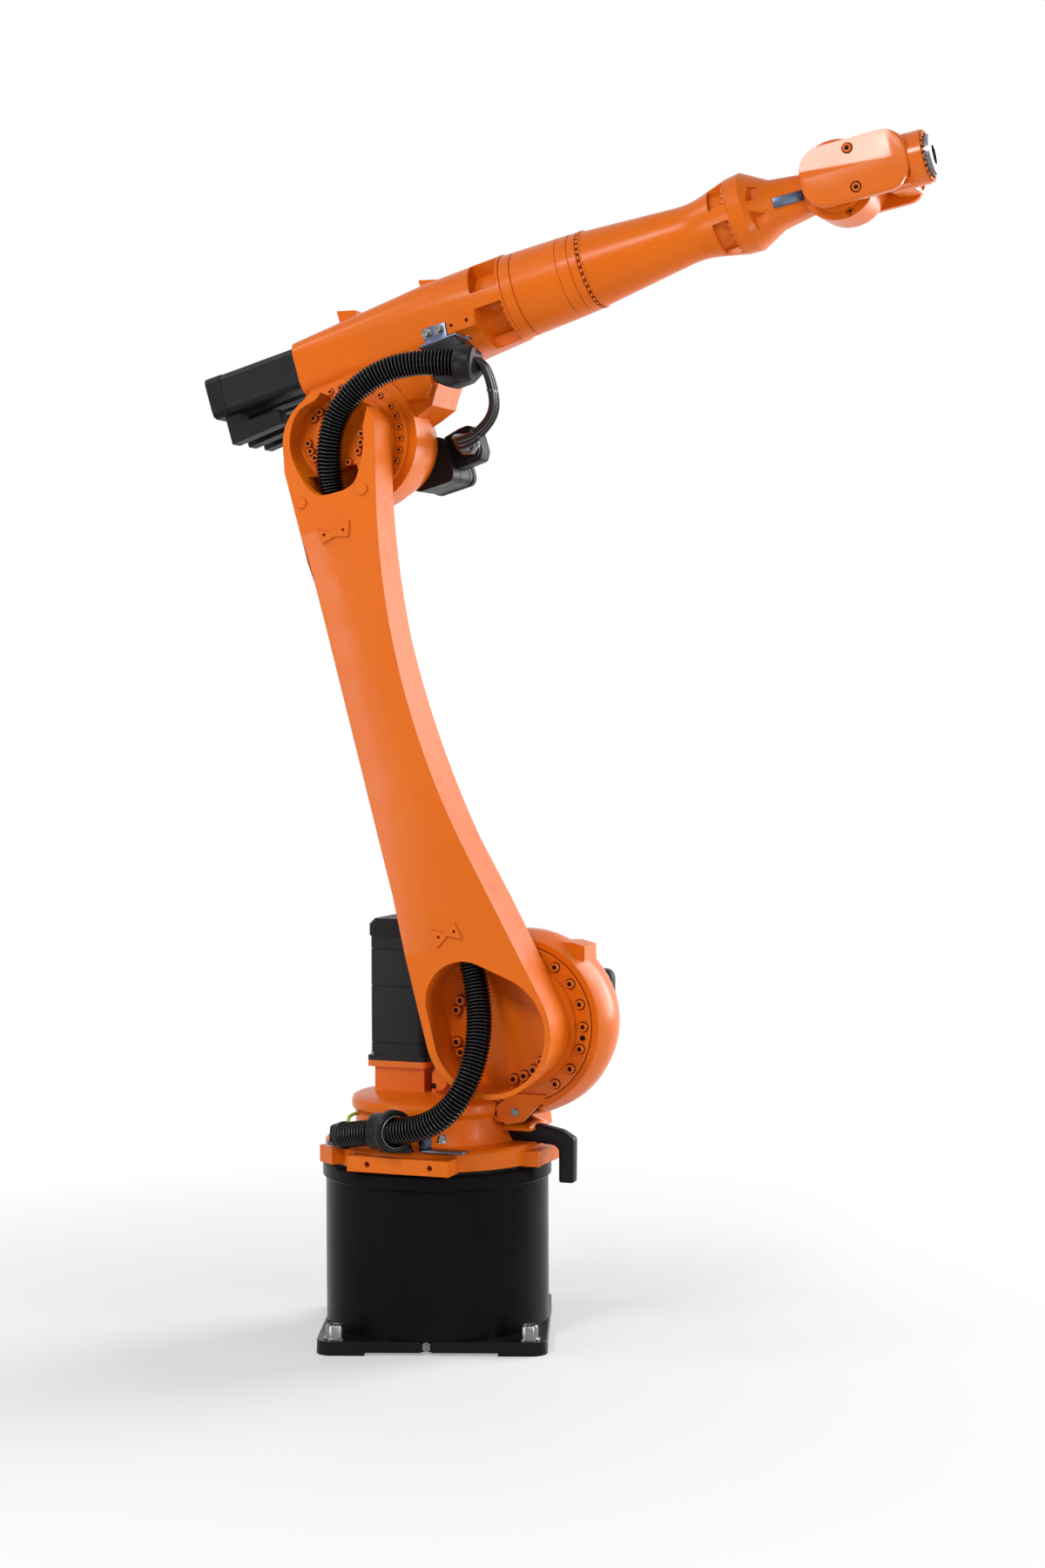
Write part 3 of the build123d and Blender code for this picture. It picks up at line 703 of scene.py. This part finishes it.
for bow_tie in BOW_TIES:
    link_adds.append(prism(LINK, bow_tie, near_face(bow_tie[0][1]) - 8, near_face(bow_tie[0][1]) + 3.5))
link_body = combined(link_body, link_adds, "UNION")
link_body = combined(link_body, [
    prism(LINK, disc(2.4, place, 20), 165, 210) for place in ((-36, 165), (-8, 167), (-46, 829), (-12, 827))
], "DIFFERENCE")
cast("link_arm_casting", link_body, "link", orange, "link_arm")

# column casting: shoulder, web, pedestal and the drum round the second axis
shoulder = lathe(COLUMN, UP, (
    (325, 0), (325, 140), (337, 134), (368, 134), (376, 140), (386, 140), (391, 138), (394, 132),
    (400, 94), (400, 0),
))
column_adds = [
    prism(COLUMN, ((8, 345), (8, 430), (50, 505), (160, 520), (180, 345)), 40, -60),
    prism(COLUMN, rectangle(-91, 374, -3, 440), 46, -46),
    prism(COLUMN, ((198, 640), (212, 652), (245, 652), (268, 646), (268, 612), (240, 600)), 24, -32),
    lathe(A2, NEAR, ((48, 0), (48, 139), (20, 150), (-15, 150), (-50, 142), (-92, 118), (-92, 0)), sides=160),
]
column_body = combined(shoulder, column_adds, "UNION")
column_body = combined(column_body, [prism(A2, disc(129, (0, 0), 128), 43, 80)], "DIFFERENCE")
stop_plate = combined(
    prism(COLUMN, (
        (118, 372), (131, 389), (158, 408), (214, 408), (203, 392), (172, 362), (146, 357),
    ), 38, 58.5),
    [prism(COLUMN, disc(11, (134, 372), 40), 38, 58.5)], "UNION",
)
stop_plate = combined(stop_plate, [prism(A2, disc(129, (0, 0), 128), 30, 52.5)], "DIFFERENCE")
column_body = combined(column_body, [
    prism(COLUMN, disc(12, (28, 418), 40), 30, 54),
    prism(COLUMN, disc(8, (203, 656), 32), 4, -12),
    stop_plate,
], "UNION")
cast("column_body_casting", column_body, "column", orange, "column_casting")

# bent stop bar
bm = bmesh.new()
slab(bm, COLUMN, (
    (128, 327), (153, 321), (170, 324), (212, 320), (219, 313), (219, 260), (244, 260), (245, 333),
    (224, 345), (181, 354), (172, 351), (128, 346),
), (-6, 16), bevel=4, segments=4)
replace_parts(piece("stop_bar_moulded", bm, "column", rubber, 50), "stop_bar")

# first-axis motor with its seams
motor_levels = []
for bottom, top, inset in (
    (450, 458, -3), (458, 478, 0), (478, 480, 1.5), (480, 571, 0), (571, 573, 1.5), (573, 632, 0),
    (632, 634, 1.5), (634, 655, 0),
):
    for z in (bottom, top):
        width = 100 - 2 * inset
        corner = 8 if inset < 0 else 14 - inset
        motor_levels.append([COLUMN.at(-50 + x, z, y) for x, y in rounded(width, width, corner)])
cast("a1_motor_seamed", loft(motor_levels), "column", motor_black, "a1_motor")

# arm housing: two lofts, the drum round the third axis, lugs and screw pockets
housing = loft([
    across(ARM, -62, rounded(180, 94, 26, (0, -9))), across(ARM, 170, rounded(164, 136, 50, (0, -6))),
    across(ARM, 306, rounded(143, 143, 71)),
])
housing_adds = [
    lathe(A3, NEAR, ((82, 0), (82, 112), (20, 112), (-20, 100), (-62, 88), (-62, 0))),
    prism(ARM, (
        (-50, -20), (-90, -150), (95, -150), (112, -146), (143, -136), (156, -116), (182, -82), (206, -20),
    ), 70, -30),
]
LUMP = ((97, -70), (150, -70), (164, -90), (161, -107), (143, -129), (119, -121), (97, -122))
lump_top = [(129 + (a - 129) * 0.84, -98 + (b + 98) * 0.84) for a, b in LUMP]
housing_adds.append(loft([[ARM.at(a, b, 40) for a, b in LUMP], [ARM.at(a, b, 80) for a, b in lump_top]]))
for lug in (((2, 40), (2, 78), (34, 69), (34, 40)), ((155, 50), (155, 79), (186, 70), (186, 50))):
    housing_adds.append(prism(ARM, lug, 13, -13))
housing_adds.append(prism(ARM, rounded(96, 19, 8, (208, -29.5)), 55, 81))
housing = combined(housing, housing_adds, "UNION")
housing_cuts = [prism(A3, disc(99.5, (0, 0), 128), 82, 140)]
for angles in ((10, 62), (-78, -10)):
    housing_cuts.append(loft([across(ARM, along, sector(50.5, 120, angles)) for along in (256, 302)]))
for along in (214, 241):
    housing_cuts.append(prism(ARM, disc(3, (along, -26.5), 24), 67, 90))
housing = combined(housing, housing_cuts, "DIFFERENCE")
cast("arm_housing_casting", housing, "arm", orange, "arm_housing")

# gearbox, its output flange and the tapered tube
cast("a4_gearbox_turned", lathe(ARM, ARM.along, (
    (306, 0), (306, 69.5), (325, 68.7), (325, 66.8), (327, 66.8), (327, 68.6), (404, 65.5), (404, 0),
)), "arm", orange, "a4_gearbox")
cast("a4_output_turned", lathe(ARM, ARM.along, (
    (404.5, 0), (404.5, 65.5), (424, 64.3), (424, 63.3), (425.5, 63.2), (425.5, 64.2), (438.5, 63.4),
    (438.5, 57), (444, 57), (444, 0),
)), "forearm", orange, "a4_output")
tube = lathe(ARM, ARM.along, (
    (444, 0), (444, 62), (600, 46), (612, 45.3), (624, 45.6), (636, 47), (650, 50), (662, 53),
    (674, 56.2), (684, 58.8), (693, 61), (693, 0),
))
tube = combined(tube, [
    loft([across(ARM, along, sector(45, 80, angles)) for along in (662, 690)])
    for angles in ((12, 60), (-80, -13))
], "DIFFERENCE")
cast("arm_tube_casting", tube, "forearm", orange, "arm_tube")

# wrist housing: neck, hub and cast pockets
wrist = loft([
    across(ARM, 693, rounded(122, 122, 60.9)), across(ARM, 716, rounded(126, 126, 62.9)),
    across(ARM, 755, rounded(88, 78, 36, (11, -1))), across(ARM, 805, rounded(76, 62, 28, (22, 0))),
    across(ARM, 845, rounded(76, 62, 28, (22, 0))),
])
hub = [prism(A5, disc(50, (0, 0), 96), 28, -72), prism(A5, disc(62, (0, 0), 112), 8, -71.9)]
wrist = combined(wrist, hub, "UNION")
wrist_cuts = [prism(A5, ((13.5, -53), (6, -45.5), (-1.5, -53), (6, -60.5)), 2, 12)]
for pocket in (((728, 9), (744, 7), (742, 24), (731, 26)), ((728, -16), (750, -19), (740, -38), (728, -38))):
    middle_a = sum(a for a, b in pocket) / 4
    middle_b = sum(b for a, b in pocket) / 4
    wrist_cuts.append(loft([
        [ARM.at(middle_a + (a - middle_a) * grow, middle_b + (b - middle_b) * grow, near) for a, b in pocket]
        for near, grow in ((36, 1), (76, 2))
    ]))
wrist = combined(wrist, wrist_cuts, "DIFFERENCE")
cast("wrist_neck_casting", wrist, "forearm", orange, "wrist_housing")

# near cover of the wrist: rounded edge, a crease and two sunk screws
cover_edge = [pi / 2 * k / 6 for k in range(1, 7)]
cover_levels = [(28.5, 0), (40, 0)] + [(40 + 6 * sin(angle), 6 - 6 * cos(angle)) for angle in cover_edge]
cover = loft([
    [WRIST.at(a, b, near) for a, b in rounded(170 - 2 * inset, 95 - 2 * inset, 38 - inset, (35.5, 2.5))]
    for near, inset in cover_levels
])
cover_cuts = [loft([
    across(WRIST, along, ((-46, 4), (drop - 46, 56), (-80, 56), (-80, 4)))
    for along, drop in ((-60, 7), (96, 7), (122, 0.3))
])]
for place in ((32, 35), (35, -27)):
    cover_cuts.append(prism(WRIST, disc(9, place, 40), 40, 60))
cover = combined(cover, cover_cuts, "DIFFERENCE")
cast("near_cover_creased", cover, "wrist", orange_smooth, "near_cover")


# clamp ring of the lower hose, with its sleeve and bracket
def ring_about(bm, place, axis, profile, sides=64):
    """Adds a closed ring turned about an axis from (radius, height) pairs."""
    matrix = axis.normalized().to_track_quat("Z", "Y").to_matrix().to_4x4()
    matrix.translation = place
    rings = []
    for radius, height in profile:
        rings.append([
            bm.verts.new(matrix @ Vector((
                radius * cos(2 * pi * step / sides) * MM, radius * sin(2 * pi * step / sides) * MM,
                height * MM,
            ))) for step in range(sides)
        ])
    for low, high in zip(rings, rings[1:] + rings[:1]):
        for step in range(sides):
            after = (step + 1) % sides
            bm.faces.new((low[step], low[after], high[after], high[step]))


clamp_place = COLUMN.at(12, 361, 205)
clamp_axis = (COLUMN.along * 0.80 + UP * 0.02 + NEAR * 0.60).normalized()
bm = bmesh.new()
ring_about(bm, clamp_place, clamp_axis, (
    (26, -9), (32.5, -9), (34, -7.5), (34, 4), (31, 7.5), (27.2, 7.5), (26, 6.5),
))
ring_about(bm, COLUMN.at(-14, 359, 199), COLUMN.along, (
    (20.5, -14), (27, -14), (29, -11), (29, 20), (24, 22), (20.5, 22),
))
slab(bm, COLUMN, ((-18, 325.5), (36, 325.5), (30, 340), (-10, 340)), (178, 196), bevel=2)
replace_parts(piece("lower_clamp_ring", bm, "column", rubber, 40), "lower_hose_clamp")
bm = bmesh.new()
ring_about(bm, clamp_place + clamp_axis * 7.2 * MM, clamp_axis, (
    (24.6, -3), (26.2, -3), (26.2, 1), (25.4, 1.5), (24.6, 1),
))
piece("lower_clamp_edge", bm, "column", steel, 40)
bm = bmesh.new()
slab(bm, COLUMN, ((48, 325.3), (118, 325.3), (118, 328.5), (48, 328.5)), (150, 178), bevel=0.8)
slab(bm, COLUMN, ((36, 325.3), (58, 325.3), (58, 352), (36, 352)), (160, 163), bevel=0.8)
slab(bm, COLUMN, ((-124, 325.3), (-92, 325.3), (-92, 333), (-124, 333)), (138, 162), bevel=1)
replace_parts(piece("lower_clamp_plates", bm, "column", zinc), "lower_clamp_bracket")

# end of the lower hose: collar, nut and a lug on the flange
end_place = lower_route[0]
end_axis = (lower_route[0] - lower_route[1]).normalized()
bm = bmesh.new()
ring_about(bm, end_place, end_axis, ((12, -3), (20, -3), (22.5, -1), (22.5, 5), (20, 8), (12, 8)))
turned(bm, end_place, end_axis, (
    (0, 0), (14, 0), (14, 11), (-14, 11), (-14, 20), (10, 21), (10, 26), (0, 26),
), 48)
slab(bm, COLUMN, ((-112, 333), (-96, 333), (-94, 356), (-101, 364), (-110, 360)), (166, 184), bevel=3)
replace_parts(piece("hose_end_collar", bm, "column", rubber, 40), "hose_end_fitting")

# clamp and bracket at the end of the upper hose
upper_end = upper_route[-1]
upper_axis = (upper_route[-1] - upper_route[-2]).normalized()
bm = bmesh.new()
slab(bm, ARM, (
    (181, -59), (240, -58), (262, -92), (259, -122), (236, -134), (206, -134), (187, -119),
), (104, 150), bevel=4, segments=3)
ring_about(bm, upper_end, upper_axis, (
    (21.5, -15), (27, -15), (29.5, -12), (29.5, 9), (26, 13), (12, 14), (12, -6), (21.5, -6),
))
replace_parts(piece("upper_clamp_moulded", bm, "arm", rubber, 40), "upper_hose_clamp")
bm = bmesh.new()
ring_about(bm, upper_end - upper_axis * 15 * MM, upper_axis, ((21, -0.8), (23.4, -0.8), (23.4, 1), (21, 1)))
piece("upper_clamp_edge", bm, "arm", steel, 40)
bm = bmesh.new()
slab(bm, ARM, ((164, -17), (206, -18), (204, -44), (240, -52), (240, -57), (164, -57)), (79, 84), bevel=1)
slab(bm, ARM, ((170, -58), (240, -58), (240, -54.5), (176, -54.5)), (70, 140), bevel=1)
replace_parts(piece("upper_clamp_plate", bm, "arm", zinc), "upper_clamp_bracket")

# third-axis motor behind the drum, its plug and the three cables
MOTOR = (60, -49)
motor_rings = []
for near, width, corner in (
    (-62, 78, 15), (-94, 78, 15), (-94, 75, 14), (-96, 75, 14), (-96, 78, 15), (-134, 78, 15), (-134, 75, 14),
    (-136, 75, 14), (-136, 78, 15), (-150, 78, 15),
):
    motor_rings.append([A3.at(a, b, near) for a, b in rounded(width, width, corner, MOTOR)])
cast("a3_motor_body", loft(motor_rings), "arm", motor_black, "a3_motor")
cap_rings = []
for near, width, corner in ((-150, 80, 15), (-163, 80, 15), (-170, 70, 12)):
    cap_rings.append([A3.at(a, b, near) for a, b in rounded(width, width, corner, MOTOR)])
cast("a3_motor_lid", loft(cap_rings), "arm", motor_cap, "a3_motor_cap")
bm = bmesh.new()
slab(bm, A3, (
    (90, -69), (90, -10), (119, -4), (136, -3), (146, -10), (151, -24), (151, -52), (143, -66),
), (-82, -122), bevel=4, segments=3)
slab(bm, A3, ((119, -62), (119, -12), (145, -12), (149, -24), (149, -50), (141, -62)), (-76, -84), bevel=2)
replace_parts(piece("a3_motor_plugs", bm, "arm", motor_cap, 40), "a3_motor_plug")
bm = bmesh.new()
turned(bm, A3.at(135, -37, -76), NEAR, (
    (0, -4), (16.5, -4), (16.5, 3), (-17.5, 3), (-17.5, 11), (15, 12), (15, 17), (0, 17),
), 48)
piece("a3_cable_gland", bm, "arm", steel, 40)

# along, up and near of the middle cable, then the shares of the others' offset that go up and near
CABLE_ROUTE = (
    (250, -98, 132, 0, 1), (267, -108, 130, 0, 1), (267, -142, 112, 0, 1), (246, -182, 72, 0, 1),
    (195, -203, 48, 0.2, 1), (155, -203, 30, 0.6, 0.9), (135, -187, -15, 1, 0), (135, -187, -74, 1, 0),
)
CABLE_PITCH = 10
CABLE_RADIUS = 5.2
TIE_PROFILE = (16.2, 7.4, 2.2)
bm = bmesh.new()
cable_lines = []
for strand in (-1, 0, 1):
    offset = CABLE_PITCH * strand
    route = [ARM.at(a, b + offset * up, near + offset * aside) for a, b, near, up, aside in CABLE_ROUTE]
    places = evenly(centreline("arm_cable", route), 4 * MM)
    swept(bm, places, [CABLE_RADIUS * MM] * len(places), 20)
    cable_lines.append(places)
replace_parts(piece("arm_cables_bundle", bm, "arm", cable_black, 60), "arm_cables")
bm = bmesh.new()
tie_width, tie_height, tie_depth = TIE_PROFILE
for share in (0.22, 0.52):
    number = round(share * (len(cable_lines[1]) - 1))
    middle = cable_lines[1][number]
    axis = (cable_lines[1][number + 1] - cable_lines[1][number - 1]).normalized()
    spread = (cable_lines[2][number] - cable_lines[0][number]).normalized()
    other = axis.cross(spread)
    outline = []
    for k in range(32):
        angle = 2 * pi * k / 32
        outline.append(middle + spread * tie_width * MM * cos(angle) + other * tie_height * MM * sin(angle))
    low = [bm.verts.new(point - axis * tie_depth * MM) for point in outline]
    high = [bm.verts.new(point + axis * tie_depth * MM) for point in outline]
    bm.faces.new(low[::-1])
    bm.faces.new(high)
    for k in range(32):
        bm.faces.new((low[k], low[(k + 1) % 32], high[(k + 1) % 32], high[k]))
    turned(bm, middle + spread * tie_width * MM, spread, ((0, -1), (2.8, -1), (2.8, 4), (0, 4)), 16)
piece("cable_ties", bm, "arm", cable_black, 40)

# earth wire behind the hose end
bm = bmesh.new()
wire = evenly(centreline("earth_wire", [
    COLUMN.at(-112, 330, 112), COLUMN.at(-112, 352, 110), COLUMN.at(-114, 366, 100), COLUMN.at(-106, 366, 80),
]), 3 * MM)
swept(bm, wire, [2.8 * MM] * len(wire), 16)
piece("earth_wire", bm, "column", earth_green, 60)

# foundation bolts and the earth screw
bm = bmesh.new()
for x in (-155, 155):
    for y in (-160, 160):
        place = Vector((x, y, 22.4)) * MM
        washer(bm, place, UP, 18.5, 3)
        cap_screw(bm, place + UP * 3 * MM, UP, 15, 20)
turned(bm, Vector((-8, -177, 13)) * MM, Vector((0, -1, 0)), (
    (0, -0.5), (7.5, -0.5), (7.5, 1.5), (4.5, 1.5), (4.5, 5), (-2.2, 5), (-2.2, 3), (0, 3),
))
piece("foundation_bolts", bm, "base", steel)
screws_to_shade.clear()

# gear ring screws, painted over; the stop plate covers three places of the second axis's ring
A2_RING = 115.9
A2_RING_FACE = 52
bm = bmesh.new()
for step in range(20):
    if step not in (14, 15, 16):
        cap_screw(bm, A2.around(A2_RING, 18 * step, A2_RING_FACE), NEAR, 7.2, 5.5)
piece("a2_ring_screws", bm, "column", orange_smooth)
# painted shade in these screws' sockets and round their heads
screw_shade_piece("a2_ring_socket_shade", "column")
bm = bmesh.new()
for step in range(29):
    cap_screw(bm, A3.around(86.9, 53.4 - TILT + 12.26 * step, 89), NEAR, 4.8, 3.8)
piece("a3_ring_screws", bm, "arm", orange_smooth)
# painted shade in these screws' sockets and round their heads
screw_shade_piece("a3_ring_socket_shade", "arm")


# empty threaded holes of the gear ring and the column, as flat dark discs: painted shade in place of the
# holes' depth
def threaded_hole(bm, place, axis, radius):
    """Countersunk rim over a thin disc, set on a face; the disc's dark colour is painted shade standing for
    the hole.
    """
    turned(bm, place, axis, ((0, -0.2), (radius, -0.2), (radius, 0.25), (radius * 0.8, 0.3), (0, 0.2)))


bm = bmesh.new()
threaded_hole(bm, A2.around(A2_RING, -9, A2_RING_FACE), NEAR, 4.6)
threaded_hole(bm, COLUMN.at(17, 413, 54), NEAR, 4.8)
for x in (-40, 68):
    threaded_hole(bm, COLUMN.at(x, 303.5, 178), NEAR, 4.4)
# flat discs coloured with painted shade where the holes are
piece("hole_shade_discs", bm, "column", painted_recess_shade)

# screws in the link arm's two pockets
bm = bmesh.new()
for angle in (-77, -64, -51, -38, -25.5, -162, -150, -139, 150, 162, 62, 50, 38):
    cap_screw(bm, A2.around(83, angle, LOWER_POCKET_FLOOR), NEAR, 7.8, 9)
for angle in (140, 123, -168.6, -152.6, -136.5, 3.8, -12.7, -30, -60, 75, 90):
    cap_screw(bm, A3.around(47.5, angle - TILT, UPPER_POCKET_FLOOR), NEAR, 6, 7)
piece("link_pocket_screws", bm, "link", orange_smooth)
# painted shade in these screws' sockets and round their heads
screw_shade_piece("link_pocket_socket_shade", "link")

# stop plate screw and the screws of the two clamp brackets
bm = bmesh.new()
washer(bm, COLUMN.at(161, 378, 58.5), NEAR, 6.6, 1)
hex_screw(bm, COLUMN.at(161, 378, 59.5), NEAR, 4.2, 4)
for x, z, near in ((-107, 335, 150), (77, 341, 164)):
    washer(bm, COLUMN.at(x, z, near), UP, 9, 2)
    washer(bm, COLUMN.at(x, z + 2, near), UP, 6.5, 1.5)
    hex_screw(bm, COLUMN.at(x, z + 3.5, near), UP, 5.5, 9)
piece("column_steel_screws", bm, "column", steel)
bm = bmesh.new()
for along in (172, 194):
    washer(bm, ARM.at(along, -27, 84), NEAR, 8.4, 1.5)
    cap_screw(bm, ARM.at(along, -27, 85.5), NEAR, 5.8, 6)
piece("clamp_bracket_screws", bm, "arm", steel)
screws_to_shade.clear()

# screws that hold the gearbox to the housing, in the housing's two pockets
bm = bmesh.new()
for angle in (16, 28, 40, 52, -16, -28, -40, -52, -64, -75):
    cap_screw(bm, ARM.section(302, 61, angle), -ARM.along, 4.3, 5)
piece("gearbox_flange_screws", bm, "arm", orange_smooth)
# painted shade in these screws' sockets and round their heads
screw_shade_piece("gearbox_flange_socket_shade", "arm")

# ring of small screws in the groove before the tube
bm = bmesh.new()
for step in range(36):
    cap_screw(bm, ARM.section(443.9, 60.4, 10 * step), -ARM.along, 3.4, 4.4)
for angle in (19, 31, 43, 55, -22, -34, -46, -58, -70):
    cap_screw(bm, ARM.section(690, 53, angle), -ARM.along, 3.6, 4.2)
piece("tube_screws", bm, "forearm", orange_smooth)
# painted shade in these screws' sockets and round their heads
screw_shade_piece("tube_socket_shade", "forearm")

# wrist cover screws, the wrist axle screw and the flange screws
bm = bmesh.new()
for along, up in ((32, 35), (35, -27)):
    cap_screw(bm, WRIST.at(along, up, 40), NEAR, 6.8, 5)
for step in range(24):
    cap_screw(bm, WRIST.section(141.3, 37.8, 15 * step + 5), WRIST.along, 2.9, 3.6)
piece("wrist_screws", bm, "wrist", orange_smooth)
# painted shade in these screws' sockets and round their heads
screw_shade_piece("wrist_socket_shade", "wrist")
bm = bmesh.new()
cap_screw(bm, A5.at(6, -53, 2), NEAR, 5.2, 4)
piece("axle_screw", bm, "forearm", orange_smooth)
# painted shade in the axle screw's socket and round its head
screw_shade_piece("axle_socket_shade", "forearm")

# bare plate on the neck, bent to its slope
bm = bmesh.new()
plate = [ARM.at(a, b, near) for a, b, near in (
    (759, -15, 31.5), (759, 1, 31.5), (805, 1, 17), (805, -15, 17),
)]
outside = (ARM.along * 14.5 + NEAR * 46).normalized()
low = [bm.verts.new(point - outside * 1 * MM) for point in plate]
high = [bm.verts.new(point + outside * 1.6 * MM) for point in plate]
bm.faces.new(low)
bm.faces.new(high)
for k in range(4):
    bm.faces.new((low[k], low[(k + 1) % 4], high[(k + 1) % 4], high[k]))
bmesh.ops.bevel(bm, geom=list(bm.edges), offset=0.4 * MM, segments=2, affect="EDGES", profile=0.5)
for a, near in ((762.5, 30.4), (801.5, 18.1)):
    turned(bm, ARM.at(a, -7, near) + outside * 1.6 * MM, outside, (
        (0, -0.3), (1.6, -0.3), (1.6, 0.5), (1.0, 1), (0, 1),
    ), 16)
piece("neck_plate", bm, "forearm", zinc)

# small screws of the first-axis motor and the rear motors
bm = bmesh.new()
for x, near in ((-94, 44), (-10, 44)):
    turned(bm, COLUMN.at(x, 458, near), UP, ((0, -0.4), (4.5, -0.4), (4.5, 5), (-2.4, 5), (-2.4, 3), (0, 3)))
piece("a1_motor_screws", bm, "column", steel)
bm = bmesh.new()
for near in (60, 0, -60):
    for b in (22, -34):
        for off in (-22, 22):
            turned(bm, ARM.at(-228, b, near + off), -ARM.along, (
                (0, -0.4), (3.4, -0.4), (3.4, 1.6), (-1.9, 1.6), (-1.9, 0.4), (0, 0.4),
            ))
piece("rear_cap_screws", bm, "arm", steel)

# camera at the photograph's place
PITCH = radians(2.12)
ROLL = radians(-0.2)
LENS = 63.62
CAMERA_PLACE = (0.2856, -4.544, 1.0711)
flat = Vector((-0.0314, 0.9995, 0))
flat.normalize()
right = Vector((flat.y, -flat.x, 0))
gaze = flat * cos(PITCH) - UP * sin(PITCH)
lift = flat * sin(PITCH) + UP * cos(PITCH)
turn_x = right * cos(ROLL) + lift * sin(ROLL)
turn_y = lift * cos(ROLL) - right * sin(ROLL)
camera_data = bpy.data.cameras.new("camera")
camera_data.lens = LENS
camera_data.sensor_width = 36
camera_data.clip_end = 50
camera = bpy.data.objects.new("camera", camera_data)
pose = Matrix((turn_x, turn_y, -gaze)).transposed().to_4x4()
pose.translation = Vector(CAMERA_PLACE)
camera.matrix_world = pose
bpy.context.scene.collection.objects.link(camera)
bpy.context.scene.camera = camera


# pale floor that fades into the background
def seen_rays(tree, path):
    """1 for the rays that show the background: camera, glossy and transmission."""
    total = path.outputs["Is Camera Ray"]
    for ray in ("Is Glossy Ray", "Is Transmission Ray"):
        add = tree.nodes.new("ShaderNodeMath")
        add.operation = "MAXIMUM"
        tree.links.new(total, add.inputs[0])
        tree.links.new(path.outputs[ray], add.inputs[1])
        total = add.outputs[0]
    return total


floor_mesh = bpy.data.meshes.new("floor")
bm = bmesh.new()
bmesh.ops.create_circle(bm, cap_ends=True, radius=30, segments=96)
bm.to_mesh(floor_mesh)
bm.free()
floor = bpy.data.objects.new("floor", floor_mesh)
bpy.context.scene.collection.objects.link(floor)
floor_material, tree, shader = new_material("floor_white")
shader.inputs["Base Color"].default_value = (0.80, 0.80, 0.80, 1)
shader.inputs["Roughness"].default_value = 0.6
shader.inputs["Specular IOR Level"].default_value = 0.2
white = tree.nodes.new("ShaderNodeEmission")
white.inputs["Strength"].default_value = 1.0
path = tree.nodes.new("ShaderNodeLightPath")
coords = tree.nodes.new("ShaderNodeTexCoord")
distance = tree.nodes.new("ShaderNodeVectorMath")
distance.operation = "LENGTH"
tree.links.new(coords.outputs["Object"], distance.inputs[0])
fade = ranged(tree, distance.outputs["Value"], 0.35, 1, 0.5, 1.6)
seen = tree.nodes.new("ShaderNodeMath")
seen.operation = "MULTIPLY"
tree.links.new(fade, seen.inputs[0])
tree.links.new(seen_rays(tree, path), seen.inputs[1])
blend = tree.nodes.new("ShaderNodeMixShader")
tree.links.new(seen.outputs[0], blend.inputs[0])
tree.links.new(shader.outputs[0], blend.inputs[1])
tree.links.new(white.outputs[0], blend.inputs[2])
output = next(node for node in tree.nodes if node.type == "OUTPUT_MATERIAL")
tree.links.new(blend.outputs[0], output.inputs[0])
floor_mesh.materials.append(floor_material)

# white world for the camera, softer light on the object
world = bpy.data.worlds.new("studio")
bpy.context.scene.world = world
world.use_nodes = True
tree = world.node_tree
tree.nodes.clear()
output = tree.nodes.new("ShaderNodeOutputWorld")
seen_world = tree.nodes.new("ShaderNodeBackground")
seen_world.inputs["Strength"].default_value = 1.0
lighting = tree.nodes.new("ShaderNodeBackground")
lighting.inputs["Color"].default_value = (1, 1, 1, 1)
lighting.inputs["Strength"].default_value = 0.10
seen_world.inputs["Color"].default_value = (1, 1, 1, 1)
path = tree.nodes.new("ShaderNodeLightPath")
mix = tree.nodes.new("ShaderNodeMixShader")
tree.links.new(seen_rays(tree, path), mix.inputs[0])
tree.links.new(lighting.outputs[0], mix.inputs[1])
tree.links.new(seen_world.outputs[0], mix.inputs[2])
tree.links.new(mix.outputs[0], output.inputs[0])


# soft boxes
def soft_box(name, place, target, size, power):
    data = bpy.data.lights.new(name, "AREA")
    data.shape = "RECTANGLE"
    data.size, data.size_y = size
    data.energy = power
    lamp = bpy.data.objects.new(name, data)
    lamp.location = place
    lamp.rotation_euler = (Vector(target) - Vector(place)).to_track_quat("-Z", "Y").to_euler()
    bpy.context.scene.collection.objects.link(lamp)


soft_box("key", (-1.75, -3.2, 3.75), (0.1, 0, 1.2), (1.3, 0.8), 76)
soft_box("front", (1.6, -4.6, 2.6), (0.1, 0, 1.0), (2.4, 2.0), 42)
soft_box("back_right", (3.0, 1.9, 1.9), (0.1, 0, 0.9), (1.8, 3.2), 170)
soft_box("right_strip", (2.9, -1.7, 0.9), (0, 0, 0.4), (0.35, 1.2), 22)
soft_box("left_strip", (-3.0, -2.2, 0.8), (0, 0, 0.6), (0.4, 1.6), 30)
soft_box("upper_left", (-2.5, -0.6, 3.9), (0, 0, 1.3), (0.9, 0.9), 28)
soft_box("glint", (-1.5, -3.4, 3.3), (0, 0, 1.0), (0.28, 0.28), 14)

bpy.context.scene.view_settings.view_transform = "Standard"
